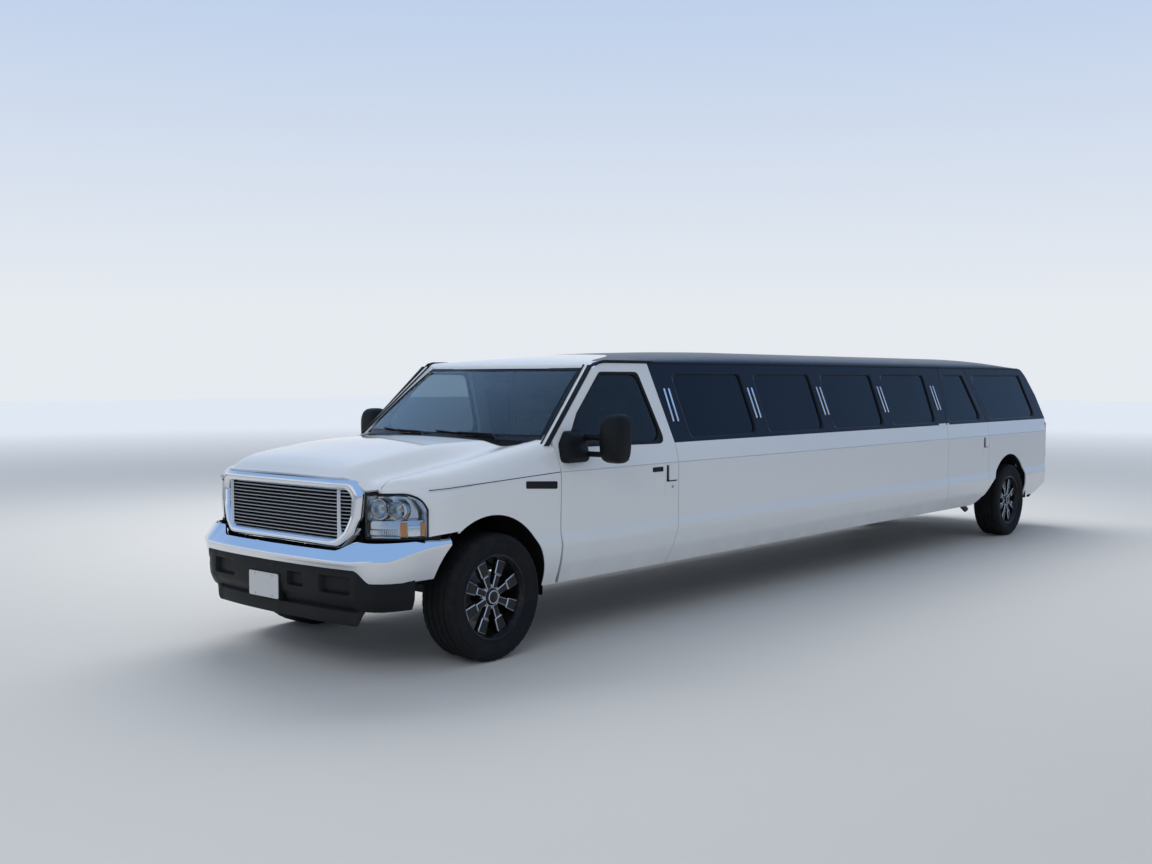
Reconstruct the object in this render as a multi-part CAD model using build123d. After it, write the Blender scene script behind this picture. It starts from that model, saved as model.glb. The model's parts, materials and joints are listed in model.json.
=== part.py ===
from build123d import *
import os

os.makedirs("parts", exist_ok=True)

# A stretch limousine built on a long ladder frame, in millimetres.
# X points forward, Y to the vehicle's left and Z up, with the origin on the ground
# under the middle of the whole vehicle.

# Driving dimensions
LENGTH = 10330
HALF_LENGTH = LENGTH / 2
WHEELBASE = 8104
FRONT_AXLE_X = 4190
REAR_AXLE_X = FRONT_AXLE_X - WHEELBASE
WHEEL_Y = 868
TYRE_RADIUS = 396
HEIGHT = 1970
PANEL_GAP = 6

# Body side, as (z, y, corner radius) up the outer skin
SILL_Z = 405
CREASE_Z = 742
GROOVE_Z = 1135
BELT_Z = 1277
RAIL_Z = 1858
SKIN = [
    (SILL_Z, 944, 0),
    (530, 988, 200),
    (664, 1012, 110),
    (CREASE_Z, 995, 110),
    (GROOVE_Z, 1000, 220),
    (BELT_Z, 972, 120),
    (RAIL_Z, 866, 0),
]
GROOVE = [(1009, GROOVE_Z - 10), (991, GROOVE_Z), (1009, GROOVE_Z + 10)]
GROOVE_FRONT = (FRONT_AXLE_X - 60, FRONT_AXLE_X + 545)
WALL = 60
SKIN_FLANGE = 20
FLANGE_STEP = 12
SHUT_Z = RAIL_Z - 8


def from_axle(s):
    """X of a place that lies s millimetres behind the front axle."""
    return FRONT_AXLE_X - s


# Places along the side, measured behind the front axle
DOOR_LEADING = 600
DOOR_TRAILING = 1874
REAR_DOOR_LEADING = 6484
REAR_DOOR_TRAILING = 7505
TAIL_S = 9220
FLOOR_Z = 645
FLOOR_TOP = 685
RAIL_Y = (350, 430)
FRAME_Z = (500, 640)


# Shape helpers
def prism_x(outline, x0, x1):
    """Solid whose (y, z) outline runs from x0 to x1."""
    wire = Polyline(*[(x0, y, z) for y, z in outline], close=True)
    return extrude(make_face(wire), amount=x1 - x0, dir=(1, 0, 0))


def prism_y(outline, y0, y1):
    """Solid whose (x, z) outline runs from y0 to y1."""
    wire = Polyline(*[(x, y0, z) for x, z in outline], close=True)
    return extrude(make_face(wire), amount=y1 - y0, dir=(0, 1, 0))


def prism_z(outline, z0, z1):
    """Solid whose (x, y) outline runs from z0 to z1."""
    wire = Polyline(*[(x, y, z0) for x, y in outline], close=True)
    return extrude(make_face(wire), amount=z1 - z0, dir=(0, 0, 1))


def round_prism_y(outline, radius, y0, y1):
    """Solid whose rounded (x, z) outline runs from y0 to y1."""
    wire = FilletPolyline(*[(x, y0, z) for x, z in outline], radius=radius, close=True)
    return extrude(make_face(wire), amount=y1 - y0, dir=(0, 1, 0))


def round_prism_x(outline, radius, x0, x1):
    """Solid whose rounded (y, z) outline runs from x0 to x1."""
    wire = FilletPolyline(*[(x0, y, z) for y, z in outline], radius=radius, close=True)
    return extrude(make_face(wire), amount=x1 - x0, dir=(1, 0, 0))


def block(x0, x1, y0, y1, z0, z1):
    """Box between two corners."""
    size = (x1 - x0, y1 - y0, z1 - z0)
    middle = ((x0 + x1) / 2, (y0 + y1) / 2, (z0 + z1) / 2)
    return Pos(*middle) * Box(*size)


def rod_y(x, z, radius, y0, y1):
    """Round bar along Y."""
    return Pos(x, (y0 + y1) / 2, z) * Rot(90, 0, 0) * Cylinder(radius, y1 - y0)


def rod_x(y, z, radius, x0, x1):
    """Round bar along X."""
    return Pos((x0 + x1) / 2, y, z) * Rot(0, 90, 0) * Cylinder(radius, x1 - x0)


def rod_z(x, y, radius, z0, z1):
    """Round bar along Z."""
    return Pos(x, y, (z0 + z1) / 2) * Cylinder(radius, z1 - z0)


def other_side(shape):
    """The same shape on the vehicle's other side."""
    return mirror(shape, about=Plane.XZ)


def save(node, *shapes):
    """Write one node as a STEP file."""
    solids = [solid for shape in shapes for solid in shape.solids()]
    model = solids[0] if len(solids) == 1 else Compound(solids)
    model.label = node
    export_step(model, f"parts/{node}.step")


# Body side panels
def skin_line(depth, x):
    """Outer skin curve moved inboard by depth."""
    points = [(x, y - depth, z) for z, y, _ in SKIN]
    radii = [radius for _, _, radius in SKIN[1:-1]]
    return FilletPolyline(*points, radius=radii)


def side_band(depth0, depth1, x0, x1):
    """Body side between two depths under the outer skin."""
    outer = skin_line(depth0, x0)
    inner = skin_line(depth1, x0)
    top = Line(outer @ 1, inner @ 1)
    bottom = Line(inner @ 0, outer @ 0)
    return extrude(make_face([outer, top, inner, bottom]), amount=x1 - x0, dir=(1, 0, 0))


def side_outline(points):
    """(s, z) points turned into (x, z)."""
    return [(from_axle(s), z) for s, z in points]


FRONT_DOOR = side_outline([
    (624, SILL_Z - 20),
    (DOOR_LEADING, CREASE_Z),
    (DOOR_LEADING, 1150),
    (553, 1342),
    (1040, 1810),
    (1150, SHUT_Z),
    (1661, SHUT_Z),
    (1863, BELT_Z),
    (DOOR_TRAILING, GROOVE_Z),
    (1877, CREASE_Z),
    (1781, SILL_Z - 20),
])
FRONT_WINDOW = side_outline([
    (676, 1290),
    (820, 1510),
    (1115, 1790),
    (1537, 1790),
    (1755, 1275),
])
REAR_DOOR = side_outline([
    (REAR_DOOR_LEADING, SILL_Z - 20),
    (REAR_DOOR_LEADING, SHUT_Z),
    (7070, SHUT_Z),
    (7136, 1790),
    (REAR_DOOR_TRAILING, BELT_Z),
    (REAR_DOOR_TRAILING, 560),
    (7340, 455),
    (7150, SILL_Z - 20),
])
REAR_WINDOW = side_outline([
    (6530, 1300),
    (6530, 1790),
    (7035, 1790),
    (7375, 1300),
])
QUARTER_WINDOW = side_outline([
    (7590, 1300),
    (7215, 1790),
    (8590, 1790),
    (8900, 1300),
])
# Fixed side windows: front edge and rear edge at half height, behind the front axle
SALOON_WINDOWS = [(1990, 2910), (3080, 3970), (4140, 5080), (5250, 6180)]
WINDOW_Z = (1300, 1790)
PILLAR_LEAN = 75
WINDOW_RADIUS = 55

REAR_ARCH = (REAR_AXLE_X + 20, 410, 500)
FRONT_ARCH = (FRONT_AXLE_X + 30, 412, 495)
TAIL = [
    (from_axle(TAIL_S), SILL_Z - 50),
    (from_axle(TAIL_S), 1200),
    (from_axle(9180), BELT_Z),
    (from_axle(9000), 1555),
    (from_axle(8790), 1775),
    (from_axle(8690), 1840),
    (from_axle(8540), 1890),
    (from_axle(8250), 1935),
    (from_axle(7800), HEIGHT + 5),
]


def window_outline(front, rear):
    """Leaning side window between two places at half height."""
    low, high = WINDOW_Z
    return side_outline([
        (front + PILLAR_LEAN, low),
        (front - PILLAR_LEAN, high),
        (rear - PILLAR_LEAN, high),
        (rear + PILLAR_LEAN, low),
    ])


def inside_tail(y0, y1):
    """Everything ahead of the tail's outer faces."""
    return prism_y(TAIL + [(6000, HEIGHT + 5), (6000, SILL_Z - 50)], y0, y1)


def window_tool(outline):
    """Cutter for one side window."""
    return round_prism_y(outline, WINDOW_RADIUS, 700, 1100)


def grown(outline, margin):
    """Cutter for an outline with a margin all round."""
    wire = Polyline(*[(x, 700, z) for x, z in outline], close=True)
    face = offset(make_face(wire), amount=margin, kind=Kind.INTERSECTION)
    return extrude(face, amount=400, dir=(0, 1, 0))


def glass_in(outline):
    """Side window pane, set in from the skin."""
    band = side_band(14, 20, from_axle(TAIL_S), from_axle(500))
    return window_tool(outline) & band


def groove_tool():
    """Fine groove that runs along the body side and dips at its front end."""
    x_bend, x_front = GROOVE_FRONT
    level = prism_x(GROOVE, from_axle(TAIL_S) - 10, x_bend)
    low = [(y, z - 55) for y, z in GROOVE]
    bend_face = make_face(Polyline(*[(x_bend, y, z) for y, z in GROOVE], close=True))
    front_face = make_face(Polyline(*[(x_front, y, z) for y, z in low], close=True))
    return level + loft([bend_face, front_face], ruled=True)


def door_shell(outline, window):
    """Door with an outer flange and a smaller inner box."""
    x0 = min(x for x, _ in outline) - 50
    x1 = max(x for x, _ in outline) + 50
    skin = side_band(0, SKIN_FLANGE, x0, x1) & grown(outline, 0)
    box = side_band(SKIN_FLANGE, WALL, x0, x1) & grown(outline, -FLANGE_STEP)
    return skin + box - window_tool(window) - groove_tool()


def arch_tool(arch, y0, y1):
    """Cutter for a round wheel arch."""
    x, z, radius = arch
    return rod_y(x, z, radius, y0, y1)


def rear_arch_tool():
    """Cutter for the rear arch, with the slanted edge ahead of the wheel."""
    x, z, radius = REAR_ARCH
    slant = side_outline([(7180, 300), (7180, 410), (7450, 500), (7640, 660)]) + [(x, z), (x, 300)]
    rear = [(x, 300), (x, z), (x - radius, z), (x - radius, 300)]
    return arch_tool(REAR_ARCH, 640, 1100) + prism_y(slant, 640, 1100) + prism_y(rear, 640, 1100)


TAIL_CORNER = 175


def tail_plan():
    """Everything inside the tail's rounded corners, below the glass."""
    x = from_axle(TAIL_S)
    outline = [(x, -1030, 300), (x, 1030, 300), (x + 900, 1030, 300), (x + 900, -1030, 300)]
    face = make_face(FilletPolyline(*outline, radius=TAIL_CORNER, close=True))
    low = extrude(face, amount=BELT_Z - 300, dir=(0, 0, 1))
    above = block(x - 10, x + 1000, -1100, 1100, BELT_Z, HEIGHT + 10)
    ahead = block(x + 700, 6000, -1100, 1100, 300, HEIGHT + 10)
    return low + above + ahead


# Room under the rear quarter's lower edge, which rises to the bumper
QUARTER_RISE = side_outline([(8850, 300), (8850, 386), (9270, 566), (9270, 300)])


def build_side_walls():
    """Fixed side panels: white below the belt and dark above it."""
    x_rear = from_axle(TAIL_S)
    x_front = from_axle(DOOR_TRAILING - 250)
    wall = side_band(0, WALL, x_rear, x_front) & inside_tail(700, 1100)
    wall -= grown(FRONT_DOOR, PANEL_GAP)
    wall -= block(from_axle(1640), x_front + 10, 700, 1100, 300, 1900)
    wall -= grown(REAR_DOOR, PANEL_GAP)
    wall -= rear_arch_tool()
    wall -= groove_tool()
    wall -= prism_y(QUARTER_RISE, 700, 1100)
    wall &= tail_plan()
    for front, rear in SALOON_WINDOWS:
        wall -= window_tool(window_outline(front, rear))
    wall -= window_tool(QUARTER_WINDOW)
    below = block(x_rear - 10, x_front + 10, 700, 1100, 300, BELT_Z)
    lower = wall & below
    upper = wall - below
    return lower, upper


def build_side_glass():
    """Fixed panes of one side."""
    panes = [glass_in(window_outline(front, rear)) for front, rear in SALOON_WINDOWS]
    panes.append(glass_in(QUARTER_WINDOW))
    return panes


# Roof
ROOF_EDGE = (800, 1902)
ROOF_SKIN = 45
ROOF_FRONT_X = 3180
ROOF_CORNER_X = 3100
ROOF_REAR_X = from_axle(9000)
HEADER_Z = 1812
HEADER_REAR_X = 3060
SCREEN_TOP_Y = 764
# Roof line above the windscreen, as (distance ahead of its front edge, z)
ROOF_FRONT = [
    (0, HEADER_Z), (0, 1838), (-50, 1862), (-250, 1892),
    (-700, 1928), (-1500, 1958), (-2200, HEIGHT + 5),
]


def roof_mass(inset):
    """Everything under the roof's outer surfaces and above the rails, drawn in by inset."""
    x = ROOF_REAR_X
    rail_y = 866 - (WALL if inset else 0)
    floor_z = RAIL_Z - (100 if inset else 0)
    edge_y, edge_z = ROOF_EDGE[0] - inset, ROOF_EDGE[1] - inset
    corner = ((rail_y + edge_y) / 2 + 8, (RAIL_Z + edge_z) / 2 + 7)
    arcs = [
        ThreePointArc((x, rail_y, RAIL_Z), (x, *corner), (x, edge_y, edge_z)),
        ThreePointArc((x, edge_y, edge_z), (x, 0, HEIGHT - inset), (x, -edge_y, edge_z)),
        ThreePointArc((x, -edge_y, edge_z), (x, -corner[0], corner[1]), (x, -rail_y, RAIL_Z)),
    ]
    if inset:
        base = Polyline(arcs[2] @ 1, (x, -rail_y, floor_z), (x, rail_y, floor_z), arcs[0] @ 0)
    else:
        base = Line(arcs[2] @ 1, arcs[0] @ 0)
    mass = extrude(make_face(arcs + [base]), amount=ROOF_FRONT_X - x, dir=(1, 0, 0))
    front = [(ROOF_FRONT_X + dx - inset, z - inset * 0.6) for dx, z in ROOF_FRONT]
    tail = [(x + inset, z - inset * 0.6) for x, z in TAIL[4:]]
    low_z = 1700
    side = [(front[0][0], low_z)] + front + tail[::-1] + [(tail[0][0], low_z)]
    return mass & prism_y(side, -900, 900)


def build_roof():
    """Roof panel with its header over the windscreen."""
    roof = roof_mass(0) - roof_mass(ROOF_SKIN)
    edge = [(ROOF_FRONT_X + dx, z) for dx, z in ROOF_FRONT[:3]]
    header = edge + [(HEADER_REAR_X, RAIL_Z + 12), (HEADER_REAR_X, HEADER_Z)]
    roof += prism_y(header, -SCREEN_TOP_Y, SCREEN_TOP_Y)
    z = 1700
    arc = ThreePointArc((ROOF_CORNER_X, -880, z), (ROOF_FRONT_X, 0, z), (ROOF_CORNER_X, 880, z))
    back = Polyline(arc @ 1, (-6000, 880, z), (-6000, -880, z), arc @ 0)
    return roof & extrude(make_face([arc, back]), amount=300, dir=(0, 0, 1))


# Windscreen, header, pillars and cowl
SCREEN_LOW = (1325, 905, 3672, 3808)
SCREEN_HIGH = (HEADER_Z, SCREEN_TOP_Y, 3118, 3172)
SCREEN_THICKNESS = 12


def screen_band(level):
    """Curved glass section at one height: (z, half width, corner x, middle x)."""
    z, half, corner, middle = level
    front = ThreePointArc((corner, -half, z), (middle, 0, z), (corner, half, z))
    back_corner, back_middle = corner - SCREEN_THICKNESS, middle - SCREEN_THICKNESS
    back = ThreePointArc((back_corner, half, z), (back_middle, 0, z), (back_corner, -half, z))
    ends = [Line(front @ 1, back @ 0), Line(back @ 1, front @ 0)]
    return make_face([front, back] + ends)


def build_windscreen():
    """Curved, raked windscreen."""
    return loft([screen_band(SCREEN_LOW), screen_band(SCREEN_HIGH)], ruled=True)


def build_screen_frame():
    """Pillars on both sides of the windscreen."""
    low_z = 1342
    high_z = RAIL_Z
    low = [(3643, 959), (3672, 914), (3652, 850), (3600, 850), (3600, 892), (3643, 892)]
    high = [(3112, 866), (3106, 780), (3070, 740), (3030, 740), (3030, 804), (3104, 804)]
    low_face = make_face(Polyline(*[(x, y, low_z) for x, y in low], close=True))
    high_face = make_face(Polyline(*[(x, y, high_z) for x, y in high], close=True))
    return loft([low_face, high_face], ruled=True) - build_windscreen() - build_roof()


def tail_plate(y0, y1):
    """Everything within one wall thickness of the tail's outer faces."""
    inner = [(x + WALL, z) for x, z in TAIL]
    return prism_y(TAIL + inner[::-1], y0, y1)


HINGE_RADIUS = 9
HINGE_PLACES = [(800, 840), (842, 870), (1090, 1118), (1120, 1160)]
CARGO_Z = (712, 1262)
CARGO_Y = (3, 780)
LIFT_HALF = 710
LIFT_Z = (1290, 1828)
TAIL_X = from_axle(TAIL_S)


def build_tail_frame():
    """Bulkhead ring round the lift glass and the cargo doors."""
    edge = [(y - WALL - 4, z) for z, y, _ in SKIN[1:-1]] + [(805, SHUT_Z)]
    outline = edge + [(-y, z) for y, z in edge[::-1]]
    plate = tail_plate(-960, 960) & prism_x(outline, -6000, 6000)
    for half, (z0, z1) in ((CARGO_Y[1], CARGO_Z), (LIFT_HALF, LIFT_Z)):
        plate -= block(-6000, 0, -half - PANEL_GAP, half + PANEL_GAP, z0 - PANEL_GAP, z1 + PANEL_GAP)
    plate &= tail_plan()
    for side in (-1, 1):
        plate -= hinge_barrels(side, HINGE_RADIUS + 2, HINGE_PLACES)
        plate += hinge_barrels(side, HINGE_RADIUS, HINGE_PLACES[1:3])
    return plate


def hinge_barrels(side, radius, places):
    """Round hinge barrels on the outer edge of one cargo door."""
    return [rod_z(TAIL_X, side * (CARGO_Y[1] + 3), radius, z0, z1) for z0, z1 in places]


def build_cargo_door():
    """Left of the two lower tail doors."""
    z0, z1 = CARGO_Z
    y0, y1 = CARGO_Y
    door = tail_plate(y0, y1) & block(-6000, 0, y0, y1, z0, z1)
    door -= hinge_barrels(1, HINGE_RADIUS + 2, HINGE_PLACES[1:3])
    return door + hinge_barrels(1, HINGE_RADIUS, HINGE_PLACES[0::3])


def build_lift_glass():
    """Top-hinged tail glass."""
    inner = [(x + 8, z) for x, z in TAIL]
    sheet = prism_y(TAIL + inner[::-1], -LIFT_HALF, LIFT_HALF)
    return sheet & block(-6000, 0, -LIFT_HALF, LIFT_HALF, *LIFT_Z)


# Front end
HOOD_REAR = (3762, 3880)
HOOD_EDGE_Y = (800, 842)
FENDER_GAP_Y = (806, 848)
FRONT_PLAN = [(0, 5052), (520, 5042), (690, 4996), (800, 4950), (890, 4880), (950, 4790), (985, 4660)]


def plan_cutter(extra, z0, z1):
    """Everything behind the curved front face, grown forward by extra."""
    left = [(x + extra, y) for y, x in FRONT_PLAN]
    right = [(x, -y) for x, y in left[1:]]
    outline = right[::-1] + left + [(left[-1][0], 1100), (3000, 1100), (3000, -1100), (left[-1][0], -1100)]
    return prism_z(outline, z0, z1)


def front_skin(y0, y1, z0):
    """Curved upright face above the left headlamp."""
    skin = plan_cutter(0, z0, 1300) - plan_cutter(-FENDER_SKIN, z0, 1300)
    return skin & block(4700, 5100, y0, y1, z0, 1300)


# Top of the front end along the car: (x, raised middle z, wing z, shoulder y, shoulder drop)
NOSE = [
    (5060, 1160, 1060, 850, 165),
    (5000, 1205, 1110, 850, 165),
    (4900, 1252, 1146, 850, 165),
    (4700, 1290, 1177, 850, 160),
    (4360, 1331, 1227, 855, 150),
    (4010, 1347, 1289, 865, 135),
    (3596, 1355, 1354, 888, 112),
]
FENDER_SKIN = 36
LAMP_Z = (812, 1072)
LAMP_Y = (724, 980)
LAMP_REAR_X = 4764
FENDER_END_X = 4584


def fender_mass(shrink):
    """Everything under the fender's outer surfaces, drawn in by shrink."""
    x_rear = from_axle(DOOR_LEADING - PANEL_GAP)
    x_front = NOSE[0][0]
    skin = skin_line(shrink, x_rear)
    low, high = skin @ 0, skin @ 1
    rest = Polyline(high, (x_rear, 640, high.Z), (x_rear, 640, low.Z), low)
    side = extrude(make_face([skin, rest]), amount=x_front - x_rear, dir=(1, 0, 0))
    faces = [fender_section(x, wing - 4 - shrink, y, drop) for x, _, wing, y, drop in NOSE]
    return side & loft(faces, ruled=True)


def fender_section(x, top, shoulder_y, drop):
    """Section with a rounded shoulder that ends out past the body side."""
    wide = 1015 - shoulder_y
    middle = (x, shoulder_y + 0.707 * wide, top - 0.293 * drop)
    shoulder = ThreePointArc((x, shoulder_y, top), middle, (x, 1015, top - drop))
    rest = Polyline((x, 1015, top - drop), (x, 1015, 300), (x, 600, 300), (x, 600, top), (x, shoulder_y, top))
    return make_face([shoulder, rest])


def build_fender():
    """Left front fender, open over the wheel and cut for the hood and the lamp."""
    fender = fender_mass(0) - fender_mass(FENDER_SKIN)
    fender += front_skin(600, 1000, LAMP_Z[1] + 4) & fender_mass(0)
    fender &= plan_cutter(0, 300, 1500)
    (front_y, rear_y), front_x, rear_x = FENDER_GAP_Y, 5100, HOOD_REAR[0]
    inboard = [(front_x, 500), (front_x, front_y), (rear_x, rear_y), (3500, rear_y), (3500, 500)]
    fender -= prism_z(inboard, 200, 1500)
    fender -= arch_tool(FRONT_ARCH, 400, 1200)
    fender -= block(FENDER_END_X, 5200, 400, 1200, 300, LAMP_Z[0] - 3)
    fender -= lamp_space(4)
    fender -= grown(FRONT_DOOR, PANEL_GAP)
    fender -= block(3500, 3770, 700, 925, 1325, 1500)
    fender -= groove_tool()
    return fender - build_screen_frame()


def lamp_space(margin):
    """Volume of the left headlamp."""
    low, high = LAMP_Z[0] - margin, LAMP_Z[1] + margin
    inner, outer = LAMP_Y[0] - margin, LAMP_Y[1] + margin
    outline = [(inner, low), (outer, low), (outer, high - 60), (outer - 60, high), (inner, high)]
    return round_prism_x(outline, 22, LAMP_REAR_X - margin, 5100)


def build_headlamp():
    """Left headlamp body, its face wrapped round the corner."""
    return lamp_space(0) & plan_cutter(4, 700, 1200) & block(4700, 5100, 600, 985, 700, 1200)


def hood_plan():
    """Plan outline of the hood."""
    rear_x, rear_mid = HOOD_REAR
    front_y, rear_y = HOOD_EDGE_Y
    rear = ThreePointArc((rear_x, -rear_y, 1000), (rear_mid, 0, 1000), (rear_x, rear_y, 1000))
    front_line = [(5100, front_y, 1000), (5100, -front_y, 1000)]
    sides = Polyline((rear_x, rear_y, 1000), *front_line, (rear_x, -rear_y, 1000))
    return extrude(make_face([rear, sides]), amount=500, dir=(0, 0, 1))


HOOD_SKIN = 30
HOOD_FLANK = (560, 735)
HOOD_CROWN = 18
GRILLE_TOP = 1150
HOOD_NOTCH_Y = 722


def hood_section(x, middle, wing, shrink):
    """Section of the front end's top: raised middle, flanks and wings."""
    top_y, foot_y = HOOD_FLANK
    top_y -= shrink
    foot_y -= shrink / 2
    top_z, foot_z, edge_z = middle - shrink, wing - shrink, wing - 6 - shrink
    crown = ThreePointArc((x, -top_y, top_z), (x, 0, top_z + HOOD_CROWN), (x, top_y, top_z))
    left = [(x, top_y, top_z), (x, foot_y, foot_z), (x, 900, edge_z), (x, 900, 950)]
    right = [(x, -y, z) for x, y, z in left[::-1]]
    return make_face([crown, Polyline(*left, *right)])


def hood_mass(shrink):
    """Everything under the hood's outer surface, drawn in by shrink."""
    faces = [hood_section(x - shrink, middle, wing, shrink) for x, middle, wing, _, _ in NOSE]
    return loft(faces, ruled=True)


def build_hood():
    """Hood: a hollow pressing with a raised middle."""
    hood = hood_mass(0) - hood_mass(HOOD_SKIN)
    brow = front_skin(-900, 900, LAMP_Z[1] + 6) & hood_mass(0)
    hood += brow
    hood &= hood_plan()
    hood &= plan_cutter(0, 900, 1500)
    hood -= block(4900, 5200, -HOOD_NOTCH_Y, HOOD_NOTCH_Y, 900, GRILLE_TOP + 8)
    hood -= block(4700, 5200, -900, 900, 900, LAMP_Z[1] + 6)
    return hood - block(3000, 4850, -900, 900, 900, 1100)


# Left halves of the grille's outlines, as (y, z)
GRILLE_OUTER = [(560, 750), (652, 835), (694, 930), (712, 1075), (655, GRILLE_TOP)]
GRILLE_INNER = [(515, 806), (572, 845), (618, 930), (628, 1045), (600, 1086)]
BAR_COUNT = 13
BAR_PITCH = 21.5
BAR_HEIGHT = 9
UPRIGHT_Y = 548


def both_halves(left):
    """Closed (y, z) outline from its left half."""
    return left + [(-y, z) for y, z in left[::-1]]


def build_grille():
    """Bright surround with level bars and two uprights."""
    inner = both_halves(GRILLE_INNER)
    ring = round_prism_x(both_halves(GRILLE_OUTER), 34, 4900, 5100) - round_prism_x(inner, 20, 4890, 5110)
    ring &= plan_cutter(22, 600, 1200) - plan_cutter(-60, 600, 1200)
    opening = prism_x(inner, 4900, 5100) & (plan_cutter(6, 600, 1200) - plan_cutter(-24, 600, 1200))
    low_z, high_z = GRILLE_INNER[0][1], GRILLE_INNER[-1][1]
    bars = []
    for index in range(BAR_COUNT):
        z = low_z + BAR_PITCH * (index + 0.5)
        bars.append(block(4900, 5100, -640, 640, z - BAR_HEIGHT / 2, z + BAR_HEIGHT / 2))
    for y in (-UPRIGHT_Y, UPRIGHT_Y):
        bars.append(block(4900, 5100, y - 18, y + 18, low_z - 5, high_z + 5))
    for bar in bars:
        ring += bar & opening
    return ring


# Left half of the bumper in plan, as (y, x, inward y, inward x)
BUMPER_PLAN = [
    (0, HALF_LENGTH, 0, 1),
    (700, 5120, 0.13, 0.99),
    (892, 5024, 0.71, 0.70),
    (985, 4830, 0.75, 0.10),
    (995, 4590, 0.15, 0),
]
# Bumper face up its height, as (z, how far it stands in)
BUMPER_LEVELS = [(555, 28), (690, 0), (795, 95)]
DAM_LEVELS = [(398, 115), (440, 62), (500, 42), (645, 50)]
BUMPER_SKIN = 30
DAM_SKIN = 50
BUMPER_LOW_EDGE = [(850, 500), (850, 566), (815, 622), (760, 640)]
BUMPER_HIGH_EDGE = [(680, 900), (680, 795), (560, 738)]
BUMPER_ARCH = (FRONT_AXLE_X, 410, 506)


def bumper_plan(inset, z):
    """Plan of the bumper at one height, drawn in by inset."""
    left = [(x - in_x * inset, y - in_y * inset, z) for y, x, in_y, in_x in BUMPER_PLAN]
    right = [(x, -y, z) for x, y, _ in left]
    front = ThreePointArc(right[1], left[0], left[1])
    corners = [ThreePointArc(left[1], left[2], left[3]), ThreePointArc(right[3], right[2], right[1])]
    rear = Polyline(left[3], left[4], right[4], right[3])
    return make_face([front, corners[0], rear, corners[1]])


def bumper_mass(levels, inset):
    """Everything inside a face given by its levels."""
    return loft([bumper_plan(inset + depth, z) for z, depth in levels], ruled=True)


def build_front_bumper():
    """Bright front bumper with a sloped upper face, deeper at its corners."""
    bumper = bumper_mass(BUMPER_LEVELS, 0) - bumper_mass(BUMPER_LEVELS, BUMPER_SKIN)
    bumper -= prism_x(both_halves(BUMPER_LOW_EDGE), 4900, 5300)
    bumper -= prism_x(both_halves(BUMPER_HIGH_EDGE), 4900, 5300)
    bumper -= arch_tool(BUMPER_ARCH, -1200, 1200)
    return bumper


PLATE_FACE_X = 5128
PLATE_Y = -85
PLATE_Z = 478
PLATE_HOLES = (177.8, 120.65)
PLATE_HOLE_RADIUS = 3.5
PLATE_THICK = 4
REAR_PLATE_Z = 590
DAM_LIP = [(5000, -760), (5052, -660), (5082, -350), (5088, 0), (5082, 350), (5052, 660), (5000, 760)]
# Recesses of the apron, as (y, half width, low z, high z)
DAM_RECESSES = [(565, 125, 490, 592), (-565, 125, 490, 592), (215, 75, 500, 585)]


def build_air_dam():
    """Dark apron under the bumper, with its recesses and lower lip."""
    dam = bumper_mass(DAM_LEVELS, 0) - bumper_mass(DAM_LEVELS, DAM_SKIN)
    dam -= block(4000, 4760, -1100, 1100, 300, 700)
    bright = bumper_mass(BUMPER_LEVELS, -1) - bumper_mass(BUMPER_LEVELS, BUMPER_SKIN + 1)
    dam -= bright & bumper_reach()
    for y, half, z0, z1 in DAM_RECESSES:
        dam -= block(5070, 5200, y - half, y + half, z0, z1)
    back = [(x - DAM_SKIN, y) for x, y in DAM_LIP[::-1]]
    lip = prism_z(DAM_LIP + back, 297, 402)
    dam += lip - prism_y([(5200, 250), (5200, 420), (5040, 250)], -900, 900)
    dam += block(5060, PLATE_FACE_X, PLATE_Y - 160, PLATE_Y + 160, PLATE_Z - 80, PLATE_Z + 80)
    dam -= arch_tool(BUMPER_ARCH, -1200, 1200)
    holes = plate_holes(PLATE_FACE_X - 30, PLATE_FACE_X + 1, PLATE_Z)
    return dam - [Pos(0, PLATE_Y, 0) * hole for hole in holes]


def bumper_reach():
    """Everything that the bright bumper takes up in front view."""
    whole = prism_x([(-1100, 555), (1100, 555), (1100, 800), (-1100, 800)], 4000, 5300)
    return whole - prism_x(both_halves(BUMPER_LOW_EDGE), 3900, 5400)


def plate_holes(x0, x1, z):
    """Four screw holes of a number plate."""
    across, up = PLATE_HOLES
    corners = [(sy * across / 2, z + sz * up / 2) for sy in (-1, 1) for sz in (-1, 1)]
    return [rod_x(y, hole_z, PLATE_HOLE_RADIUS, x0, x1) for y, hole_z in corners]


def build_plate(x, z):
    """Blank number plate with its screw holes, in front of a face at x."""
    plate = block(x, x + PLATE_THICK, -152.5, 152.5, z - 76, z + 76)
    return plate - plate_holes(x - 1, x + PLATE_THICK + 1, z)


def build_cowl():
    """Cowl top with the firewall below it."""
    rear_x, rear_mid = HOOD_REAR
    arc = ThreePointArc((rear_x - 8, -842, 1270), (rear_mid - 8, 0, 1270), (rear_x - 8, 842, 1270))
    back = Polyline((rear_x - 8, 842, 1270), (3600, 848, 1270), (3600, -848, 1270), (rear_x - 8, -842, 1270))
    top = extrude(make_face([arc, back]), amount=55, dir=(0, 0, 1))
    wall = block(3600, 3630, -880, 880, FLOOR_TOP, 1270)
    return top + wall


# Chassis
SPRING_Y = (440, 500)
SPRING_HALF = {FRONT_AXLE_X: 500, REAR_AXLE_X: 620}
PIN_INSET = 25
PIN_RADIUS = 16
CROSS_MEMBERS = [4700, 2900, 1500, 0, -1500, -2900, -3350, -4500, -4900]


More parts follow.
